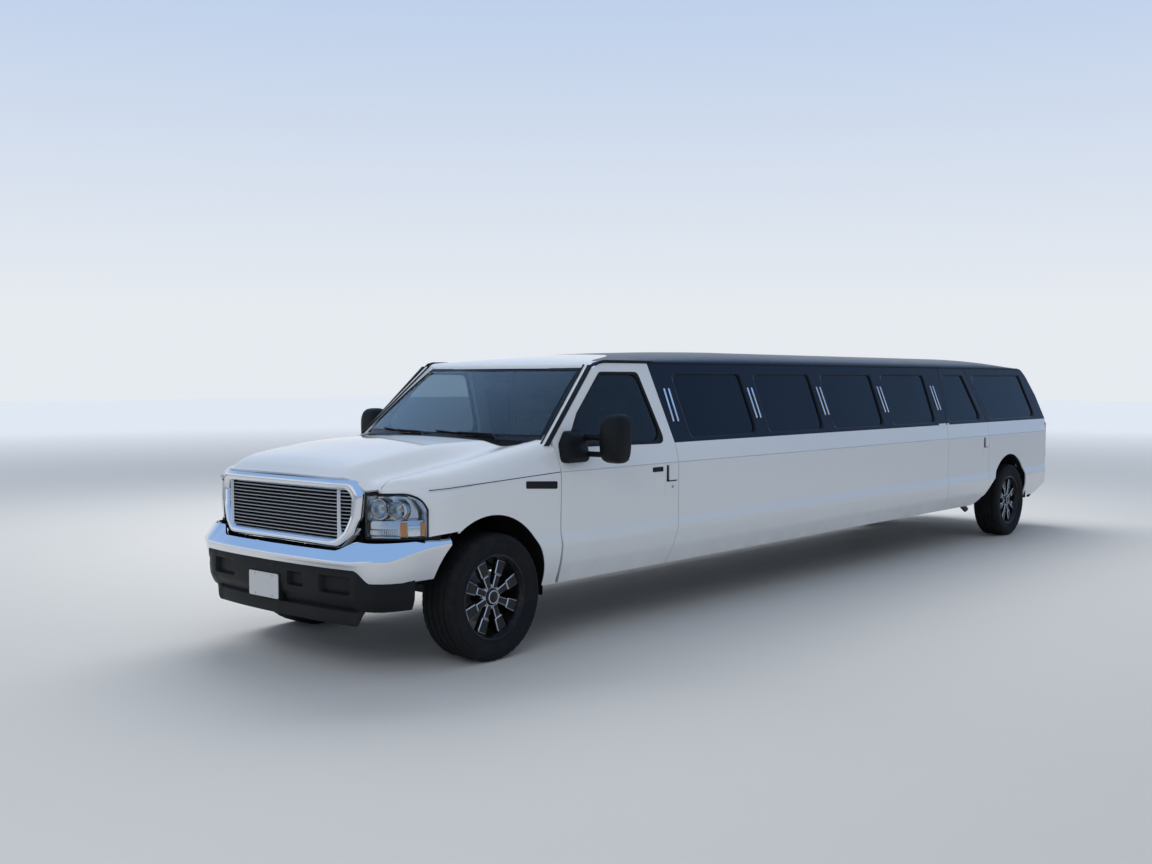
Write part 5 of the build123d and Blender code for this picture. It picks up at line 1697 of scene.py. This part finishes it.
def make_rear_bumper():
    """Bright step bumper with a recess for the plate, a dark tread pad and two brackets."""
    half = spaced([(x, y, 0) for x, y in STEP_PLAN], 60, closed=False)
    line = [Vector((p.x, -p.y, 0)) for p in half[::-1][:-1]] + half
    rows = []
    for i, p in enumerate(line):
        along = (line[min(i + 1, len(line) - 1)] - line[max(i - 1, 0)]).normalized()
        inward = Vector((along.y, -along.x, 0))
        sunk = 0.005 if abs(p.y) < 0.160 else 0.0
        row = []
        for z, depth in STEP_SECTION:
            seat = sunk if 0.509 < z < 0.672 else 0.0
            row.append(p + inward * max(depth, seat) + Vector((0, 0, z)))
        rows.append(row)
    shape = Shape().rows(rows)
    for k in range(9):
        x = -5.150 + 0.0125 * k
        shape.block((x, -0.56, 0.698), (x + 0.007, 0.56, 0.7025), 0.001, 1)
    for side in (-1, 1):
        shape.block((-5.05, side * 0.40 - 0.03, 0.52), (-4.97, side * 0.40 + 0.03, 0.62), 0.006, 1)
    piece("step_bumper", shape, ["chrome", "plastic"], "body", "chrome_trim", ["rear_bumper"], 40)


def make_tail_trim():
    """Handles, hinge straps and wiper of the tail's doors and glass."""
    for side, word in SIDES:
        trim = Shape()
        y0, y1 = sorted((side * 0.700, side * 0.775))
        for z in (0.86, 1.13):
            trim.block((TAIL_X - 0.006, y0, z - 0.013), (TAIL_X - 0.0005, y1, z + 0.013), 0.002, 1)
        if side > 0:
            trim.block((TAIL_X - 0.003, 0.10, 1.075), (TAIL_X - 0.0005, 0.30, 1.155), 0.001, 1)
            trim.block((TAIL_X - 0.022, 0.115, 1.120), (TAIL_X - 0.003, 0.285, 1.150), 0.006, 1)
        piece(f"cargo_trim_{word}", trim, ["white", "plastic"], f"cargo_door_{word}", "black_plastic")
    x, z = from_axle(9.150), 1.335
    wiper = Shape()
    pivot = Matrix.Translation((x - 0.012, 0.0, z)) @ Matrix.Rotation(math.pi, 4, "Z")
    wiper.lathe([(0.0, 0.022), (0.018, 0.020), (0.024, 0.012), (0.024, 0.0005)], 20, 0, pivot)
    wiper.tube([(x - 0.030, y, z + 0.010 * y) for y in span(0.0, 0.42, 8)], 0.006, 8)
    wiper.tube([(x - 0.018, y, z + 0.003 + 0.010 * y) for y in span(0.06, 0.48, 8)], 0.0045, 6)
    piece("tail_wiper", wiper, ["plastic"], "lift_glass", "black_plastic")


def arch_edge(centre, radius, start, end, count, y_at, steps):
    """Rows along a wheel opening's edge between two angles in degrees, stepping inboard from the skin."""
    rows = []
    for a in span(math.radians(start), math.radians(end), count):
        rim = centre + Vector((math.cos(a), 0, math.sin(a))) * radius
        rows.append([Vector((rim.x, y_at(rim) - step, rim.z)) for step in steps])
    return rows


def make_underside():
    """Mud flaps, dark linings along the wheel openings, which also paint shade over the openings' painted
    lips, and a strip below the rear quarter.
    """
    shape = Shape()
    for side in (-1, 1):
        y0, y1 = sorted((side * 0.735, side * 0.965))
        shape.block((from_axle(8.640), y0, 0.380), (from_axle(8.630), y1, 0.560), 0.003)
    piece("mud_flaps", shape, ["rubber"])

    # Dark linings: partly real wheel-well liners, partly painted shade laid over the openings' painted lips
    linings_and_shade = Shape()
    centre = Vector((FRONT_AXLE_X + 0.020, 0, 0.410))
    angles = span(math.radians(-8), math.radians(30), 12)
    for radius in (0.500, 0.506):
        rows = []
        for y in span(0.52, 0.935, 6):
            rows.append([centre + Vector((-math.cos(a) * radius, y, math.sin(a) * radius)) for a in angles])
        linings_and_shade.rows(rows)
    rear, front = Vector((REAR_AXLE_X + 0.020, 0, 0.410)), Vector((ARCH_X, 0, ARCH_Z))
    for opening in (
        (rear, 0.4975, 1, 179, 48, lambda p: side_y(p.z) - 0.010, (0.0, 0.025, 0.055)),
        (front, 0.4935, 60, 184, 40, lambda p: fender_y(p.x, p.z) - 0.004, (0.0, 0.020, 0.045)),
    ):
        linings_and_shade.rows(arch_edge(*opening))
    strip = []
    for s in span(8.862, 9.190, 12):
        low = 0.386 + (s - 8.850) * 0.4286
        section = ((0.012, 0.022), (-0.022, 0.022), (-0.022, 0.060))
        strip.append([on_side(s, low + up, -sink) for up, sink in section])
    linings_and_shade.rows(strip)
    piece("dark_linings_and_arch_shade", linings_and_shade.both(), ["plastic"])


# Inside
SWELL_FRAMES = 20


def soft_start(size, voxel):
    """Slightly small rounded block, remeshed evenly, as the start of a cushion."""
    shape = Shape().block([-d / 2 * 0.95 for d in size], [d / 2 * 0.95 for d in size], min(size) * 0.30)
    obj = make_object("soft", shape, [])
    modify(obj, "REMESH", mode="VOXEL", voxel_size=voxel, use_smooth_shade=True)
    return obj


def add_pressure(obj):
    """Cloth that swells by pressure alone, without weight."""
    cloth = obj.modifiers.new("Cloth", "CLOTH")
    cloth.settings.quality = 4
    cloth.settings.mass = 0.3
    cloth.settings.use_pressure = True
    cloth.settings.uniform_pressure_force = 4
    cloth.settings.effector_weights.gravity = 0
    cloth.collision_settings.use_collision = False
    cloth.point_cache.frame_start = 1
    cloth.point_cache.frame_end = SWELL_FRAMES


def capped(obj, start, cap):
    """Mesh data of a swollen cushion whose points moved no further than the cap."""
    graph = bpy.context.evaluated_depsgraph_get()
    mesh = bpy.data.meshes.new_from_object(obj.evaluated_get(graph))
    obj.modifiers.clear()
    obj.data = mesh
    for vertex, home in zip(mesh.vertices, start):
        move = vertex.co - home
        if move.length > cap:
            vertex.co = home + move * (cap / move.length)


# Cushions: size along the vehicle's X, Y and Z before tilting, voxel, cap, subdivisions
CUSHIONS = {
    "seat_base": ((0.52, 0.49, 0.160), 0.013, 0.024, 1),
    "seat_back": ((0.125, 0.48, 0.530), 0.013, 0.022, 1),
    "seat_rest": ((0.095, 0.26, 0.160), 0.010, 0.014, 1),
    "bench_base": ((0.930, 0.40, 0.140), 0.016, 0.022, 0),
    "bench_back": ((0.930, 0.080, 0.380), 0.016, 0.016, 0),
}


def make_cushion_meshes():
    """Swells every cushion by cloth pressure and hands back their points and faces."""
    made = {name: soft_start(size, voxel) for name, (size, voxel, _, _) in CUSHIONS.items()}
    starts = {name: [v.co.copy() for v in obj.data.vertices] for name, obj in made.items()}
    for obj in made.values():
        add_pressure(obj)
    for step in range(1, SWELL_FRAMES + 1):
        bpy.context.scene.frame_set(step)
    for name, obj in made.items():
        capped(obj, starts[name], CUSHIONS[name][2])
    bpy.context.scene.frame_set(1)
    out = {}
    for name, obj in made.items():
        size, _, _, levels = CUSHIONS[name]
        if levels:
            modify(obj, "SUBSURF", levels=levels)
        fit_box(obj, size)
        out[name] = ([v.co.copy() for v in obj.data.vertices], [list(f.vertices) for f in obj.data.polygons])
        bpy.data.objects.remove(obj)
    return out


def fit_box(obj, size):
    """Scales a cushion to its size, so that it keeps to its place."""
    for axis in range(3):
        values = [v.co[axis] for v in obj.data.vertices]
        low, high = min(values), max(values)
        factor = size[axis] / (high - low)
        for v in obj.data.vertices:
            v.co[axis] = (v.co[axis] - (low + high) / 2) * factor


def channelled(verts, axis, places, face_axis, depth=0.007, width=0.010):
    """Sewn channels: points near each place along an axis sink in from the face."""
    out = []
    for v in verts:
        v = v.copy()
        sink = sum(math.exp(-((v[axis] - at) / width)**2) for at in places)
        v[face_axis] -= math.copysign(depth * min(sink, 1), v[face_axis])
        out.append(v)
    return out


def piping(name, face_axis, level, inset_by):
    """Path of a piped seam round a cushion at one level."""
    size = CUSHIONS[name][0]
    a, b = [i for i in range(3) if i != face_axis]
    half_a, half_b = size[a] / 2 - inset_by, size[b] / 2 - inset_by
    flat = [(u, v, 0) for u, v in rectangle(-half_a, half_a, -half_b, half_b)]
    path = []
    for p in spaced(rounded(flat, 0.05, 5), 64):
        q = Vector((0, 0, 0))
        q[a], q[b], q[face_axis] = p[0], p[1], level
        path.append(q)
    return path


def make_cushion(name, data, place, body_nodes, channels=None, seam=None):
    """One cushion in its place, with its channels and its piped seam."""
    verts, faces = data
    if channels:
        verts = channelled(verts, *channels)
    shape = Shape().add(verts, faces, 0, place)
    if seam:
        shape.tube(seam, 0.0042, 6, closed=True, place=place)
    obj = make_object(name, shape, ["leather"], 60)
    seat_on(obj, "body", "seat_leather", *body_nodes)


def tilted(x, y, z, degrees, axis="Y"):
    """Place that leans about one axis."""
    return Matrix.Translation((x, y, z)) @ Matrix.Rotation(math.radians(degrees), 4, axis)


SEAT_Y = 0.40
PLINTH_Z = 0.868
BENCH_SEAMS = (-0.155, 0.155)


def make_front_seats(data):
    """Two seats with piped seams on plain plinths."""
    seams = (-0.13, 0.13)
    for side, word in SIDES:
        y = side * SEAT_Y
        for name, place, face_axis, level, inset_by in (
            ("seat_base", tilted(2.712, y, 0.895, -4), 2, 0.045, 0.012),
            ("seat_back", tilted(2.392, y, 1.205, -16.5), 0, 0.034, 0.010),
        ):
            seam = piping(name, face_axis, level, inset_by)
            make_cushion(f"{name}_{word}", data[name], place, ["front_seats"], (1, seams, face_axis), seam)
        make_cushion(f"seat_rest_{word}", data["seat_rest"], tilted(2.325, y, 1.537, -6), ["front_seats"])


def make_bench(data):
    """Long bench on the right side and across the back."""
    nodes = ["lounge_seats"]
    for k in range(5):
        x = 1.225 - 0.935 * k
        base, back = tilted(x, -0.582, 0.938, 0), tilted(x, -0.768, 1.206, -5, "X")
        make_cushion(f"bench_base_{k + 1}", data["bench_base"], base, nodes, (0, BENCH_SEAMS, 2))
        make_cushion(f"bench_back_{k + 1}", data["bench_back"], back, nodes, (0, BENCH_SEAMS, 1))
    for k, y in ((6, -0.325), (7, 0.325)):
        base = tilted(-3.152, y, 0.938, 90, "Z") @ Matrix.Diagonal((0.69, 0.74, 1, 1))
        across = Matrix.Rotation(math.radians(90), 4, "Z")
        back = tilted(-3.385, y, 1.206, -9) @ across @ Matrix.Diagonal((0.69, 0.95, 1, 1))
        make_cushion(f"bench_base_{k}", data["bench_base"], base, nodes, (0, BENCH_SEAMS, 2))
        make_cushion(f"bench_back_{k}", data["bench_back"], back, nodes, (0, BENCH_SEAMS, 1))


def make_seats():
    """Seats and bench as swollen leather cushions, on plain plinths."""
    data = make_cushion_meshes()
    make_front_seats(data)
    make_bench(data)
    base = Shape()
    for side in (-1, 1):
        y = side * SEAT_Y
        base.block((2.46, y - 0.20, FLOOR_Z), (2.93, y + 0.20, 0.830), 0.015)
        for post in (y + side * 0.10, y - side * 0.10):
            base.block((2.30, post - 0.01, 1.44), (2.33, post + 0.01, 1.50), 0.003)
    piece("seat_plinths", base, ["cabin"], "body", "cabin_plastic", ["front_seats"])
    base = Shape()
    base.block((-3.0, -0.838, FLOOR_Z), (1.698, -0.400, PLINTH_Z), 0.012)
    base.block((-3.0, -0.838, PLINTH_Z), (1.698, -0.800, 1.395), 0.010)
    base.block((-3.448, -0.658, FLOOR_Z), (-3.02, 0.658, PLINTH_Z), 0.012)
    base.block((-3.448, -0.658, PLINTH_Z), (-3.418, 0.658, 1.415), 0.010)
    base.tube([(x, -0.402, 0.845) for x in span(-2.98, 1.68, 30)], 0.006, 8, 1)
    piece("bench_plinth", base, ["cabin", "chrome"], "body", "cabin_plastic", ["lounge_seats"])


# Section of the dashboard as (X, Z)
DASH = [
    (3.590, 1.262), (3.460, 1.258), (3.330, 1.246), (3.245, 1.222), (3.196, 1.190), (3.184, 1.160),
    (3.192, 1.110), (3.215, 1.075), (3.275, 1.030), (3.350, 0.990), (3.470, 0.962), (3.590, 0.945),
]


def make_dashboard():
    """Dashboard with an instrument hood, vents, knobs and two dials."""
    shape = Shape()
    rows = []
    for y in [-0.838, -0.834] + span(-0.82, 0.82, 83) + [0.834, 0.838]:
        hood = ease(1 - abs(y - SEAT_Y) / 0.20)
        shrink = 0.010 if abs(y) > 0.836 else 0
        row = []
        for x, z in DASH:
            bulge = hood * ease((z - 1.10) / 0.10) * ease((3.40 - x) / 0.12)
            droop = 0.022 * (1 - hood) * ease((z - 1.15) / 0.1)
            row.append((x + 0.020 * bulge + shrink, y, z - droop - shrink))
        rows.append(row)
    shape.rows(rows, 0, closed=True, ends=True)
    for y in (-0.72, -0.16, 0.08, 0.72):
        for k in range(5):
            shape.block(
                (3.186, y - 0.050, 1.118 + 0.012 * k), (3.212, y + 0.050, 1.123 + 0.012 * k), 0.001, 1
            )
    shape.block((3.196, -0.150, 1.040), (3.24, 0.070, 1.100), 0.006, 1)
    knob = [(0.0, 0.016), (-0.012, 0.015), (-0.014, 0.011), (-0.014, 0.0005)]
    for y in (-0.11, -0.04, 0.03):
        shape.lathe(knob, 20, 2, Matrix.Translation((3.196, y, 1.070)))
    shape.block((3.200, 0.275, 1.105), (3.23, 0.525, 1.195), 0.008, 1)
    dial = [(0.0, 0.036), (-0.003, 0.036), (-0.004, 0.032), (-0.002, 0.031), (-0.001, 0.0005)]
    for y in (0.335, 0.465):
        shape.lathe(dial, 32, 2, Matrix.Translation((3.199, y, 1.150)))
    piece("dash_panel", shape, ["cabin", "plastic", "satin"], "body", "cabin_plastic", ["dashboard"], 40)


def make_steering_wheel():
    """Steering wheel with a padded hub, four spokes, its column and a stalk."""
    place = Matrix.Translation((3.085, SEAT_Y, 1.195)) @ Matrix.Rotation(math.radians(-62), 4, "Y")
    shape = Shape()
    ring = [(math.cos(a) * 0.189, math.sin(a) * 0.189, 0.0) for a in turn(96)]
    shape.tube(ring, 0.0155, 14, 0, closed=True, place=place)
    shape.lathe(
        [(-0.028, 0.030), (-0.010, 0.062), (0.006, 0.070), (0.016, 0.064), (0.020, 0.040), (0.021, 0.0005)],
        40, 0, place, "z"
    )
    for angle in (20, 160, 215, 325):
        a = math.radians(angle)
        spoke = [
            (math.cos(a) * r, math.sin(a) * r, 0.004 - 0.004 * r / 0.19) for r in (0.045, 0.08, 0.13, 0.182)
        ]
        shape.tube(spoke, [0.020, 0.014, 0.011, 0.010], 12, 0, place=place)
    shape.tube([(0, 0, -0.02), (0, 0, -0.08), (0, 0, -0.135)], [0.028, 0.030, 0.032], 20, 1, place=place)
    shape.tube(
        [(0.03, 0.02, -0.055), (0.08, 0.10, -0.050), (0.10, 0.155, -0.045)], [0.006, 0.006, 0.008], 8, 1,
        place=place
    )
    piece("wheel_rim_cab", shape, ["plastic", "cabin"], "body", "black_plastic", ["steering_wheel"], 40)


def make_carpet():
    """Carpet over the cabin's floor, with a slight wave."""
    floor = Shape()
    for x0, x1, half in ((-3.34, 3.55, 0.850), (-4.90, -3.34, 0.655)):
        rows = []
        for x in span(x0, x1, 40):
            wave = 0.001 * math.sin(x * 9)
            rows.append([(x, y, 0.6905 + wave * math.sin(y * 11)) for y in span(-half, half, 24)])
        floor.rows(rows)
    carpet = make_object("floor_carpet", floor, ["carpet"])
    modify(carpet, "SOLIDIFY", thickness=0.004, offset=-1)
    seat_on(carpet, "body", "cabin_plastic")


def make_headlining():
    """Lining that follows the roof from below."""
    rows = []
    for along in span(0.10, 7.35, 40):
        row = []
        for a in span(math.radians(-72), math.radians(72), 25):
            x, y, z = roof_point(along, a)
            row.append((x, y * 0.93, z - 0.052))
        rows.append(row)
    liner = make_object("headlining", Shape().rows(rows), ["cabin"])
    modify(liner, "SOLIDIFY", thickness=0.004, offset=0)
    seat_on(liner, "body", "cabin_plastic")


def make_cabinet():
    """Wooden cabinet with eight doors and their knobs, a dark top and a dark kick strip."""
    bar = Shape()
    bar.block((-1.998, 0.575, FLOOR_Z), (1.698, 0.838, 1.095), 0.004)
    bar.block((-2.0, 0.562, 1.096), (1.70, 0.840, 1.119), 0.006, 1)
    knob = [(0.0, 0.006), (-0.012, 0.006), (-0.014, 0.012), (-0.020, 0.012), (-0.022, 0.0005)]
    for k in range(8):
        x = -1.96 + 0.457 * k
        bar.block((x, 0.563, 0.745), (x + 0.437, 0.577, 1.075), 0.005)
        bar.block((x + 0.035, 0.5605, 0.785), (x + 0.402, 0.566, 1.040), 0.002)
        knob_x = x + (0.41 if k % 2 == 0 else 0.027)
        bar.lathe(knob, 16, 2, Matrix.Translation((knob_x, 0.5625, 0.91)), "y")
    bar.block((-1.98, 0.570, 0.692), (1.68, 0.580, 0.740), 0.002, 1)
    piece("cabinet_body", bar, ["wood", "plastic", "chrome"], "body", "cabinet_wood", ["bar_cabinet"])


def make_partition():
    """Wall behind the front seats, with a dark window."""
    wall = Shape()
    half = [(0.868, 0.692), (0.878, 1.135), (0.849, 1.277), (0.759, 1.838)]
    outline = flat_rounded(half + [(-y, z) for y, z in half[::-1]], 0.03, 3)
    wall.chamfered([(2.183, y, z) for y, z in outline], (0.026, 0, 0), 0.004)
    for x0, x1 in ((2.205, 2.2125), (2.1775, 2.186)):
        wall.block((x0, -0.42, 1.32), (x1, 0.42, 1.66), 0.003, 1)
    seal = flat_rounded(rectangle(-0.43, 0.43, 1.31, 1.67), 0.03, 3)
    wall.tube([(2.211, y, z) for y, z in seal], 0.006, 8, 2, closed=True)
    piece("partition_wall", wall, ["cabin", "privacy", "rubber"], "body", "cabin_plastic", ["partition"], 30)


# Lights, floor and camera
def make_camera():
    """Camera in the place fitted to the photograph."""
    data = bpy.data.cameras.new("camera")
    data.lens = LENS_MM
    data.sensor_fit = "HORIZONTAL"
    data.sensor_width = SENSOR_MM
    data.clip_end = 200
    camera = bpy.data.objects.new("camera", data)
    camera.location = CAMERA_AT
    camera.rotation_euler = Vector(CAMERA_HEADING).to_track_quat("-Z", "Y").to_euler()
    bpy.context.scene.collection.objects.link(camera)
    bpy.context.scene.camera = camera


def make_light(name, at, target, size, power, color):
    """Soft lamp that doesn't show in reflections or behind glass."""
    data = bpy.data.lights.new(name, "AREA")
    data.shape = "RECTANGLE"
    data.size, data.size_y = size
    data.energy = power
    data.color = color
    light = bpy.data.objects.new(name, data)
    light.location = at
    light.rotation_euler = (Vector(target) - Vector(at)).to_track_quat("-Z", "Y").to_euler()
    light.visible_glossy = False
    light.visible_transmission = False
    bpy.context.scene.collection.objects.link(light)


def make_world():
    """Even light, and a sky for what is seen directly, in reflections and through glass."""
    world = bpy.data.worlds.new("studio")
    bpy.context.scene.world = world
    world.use_nodes = True
    sky = Nodes(world.node_tree, "Generated")
    even = sky.tree.nodes["Background"]
    even.inputs["Color"].default_value = (0.80, 0.88, 1.0, 1)
    even.inputs["Strength"].default_value = 0.50
    rays = sky.node("ShaderNodeLightPath").outputs
    aside = sky.joined(sky.scaled(sky.axis("Y"), 0.0, 1.0, 0.02, 0.30), rays["Is Glossy Ray"])
    deeper = sky.joined(aside, sky.scaled(sky.axis("Z"), 0.0, 1.0, 0.06, 0.50), "MAXIMUM")
    seen = sky.node("ShaderNodeBackground")
    seen.inputs["Strength"].default_value = 0.92
    sky.link(sky.blended(deeper, (0.86, 0.90, 0.95, 1), (0.30, 0.50, 0.86)), seen.inputs["Color"])
    shown = sky.joined(rays["Is Camera Ray"], rays["Is Glossy Ray"], "MAXIMUM")
    shown = sky.joined(shown, rays["Is Transmission Ray"], "MAXIMUM")
    mix = sky.node("ShaderNodeMixShader")
    for socket, value in zip(mix.inputs, (shown, even.outputs[0], seen.outputs[0])):
        sky.link(value, socket)
    sky.link(mix.outputs[0], sky.tree.nodes["World Output"].inputs["Surface"])


def make_floor():
    """Pale floor that fades into the pale backdrop far away."""
    look = finish("floor", "floor_pale", (0.66, 0.66, 0.65), 0.75)
    look.tint((3, 5), (0.60, 0.60, 0.59), 0.0, 0.2)
    look.bump((60, 4), 0.001, 0.15)
    length = look.node("ShaderNodeVectorMath", operation="LENGTH")
    look.link(look.coords, length.inputs[0])
    far = look.scaled(length.outputs["Value"], 0.0, 0.55, 7.0, 34.0)
    seen = look.node("ShaderNodeLightPath").outputs["Is Camera Ray"]
    look.set("Emission Color", (0.86, 0.90, 0.95, 1))
    look.link(look.joined(far, seen), look.shader.inputs["Emission Strength"])
    shape = Shape().rows([[(x, y, 0) for x in span(-90, 90, 3)] for y in span(-90, 90, 3)])
    make_object("floor", shape, ["floor"])


make_camera()
make_world()
make_light("key", (-2.5, -4.5, 8.5), (1.0, 0.3, 1.0), (11, 6), 1050, (1.0, 0.985, 0.96))
make_light("front_soft", (11.5, 4.5, 5.5), (3.5, 0.3, 0.9), (6, 4), 150, (0.93, 0.96, 1.0))
make_floor()
make_body_finishes()
make_glass_finishes()
make_chassis_finishes()
make_cabin_finishes()
dress_nodes()
make_hood()
make_fenders()
make_fender_trim()
make_grille()
make_headlamps()
make_front_bumper()
make_wheels()
make_roof()
make_windscreen()
make_pillars()
make_cowl()
make_wipers()
make_side_trim()
make_door_trim()
make_mirrors()
make_air_dam()
make_plates()
make_tail_lamps()
make_rear_bumper()
make_tail_trim()
make_underside()
make_seats()
make_dashboard()
make_steering_wheel()
make_carpet()
make_headlining()
make_cabinet()
make_partition()

bpy.context.scene.view_settings.view_transform = "Standard"
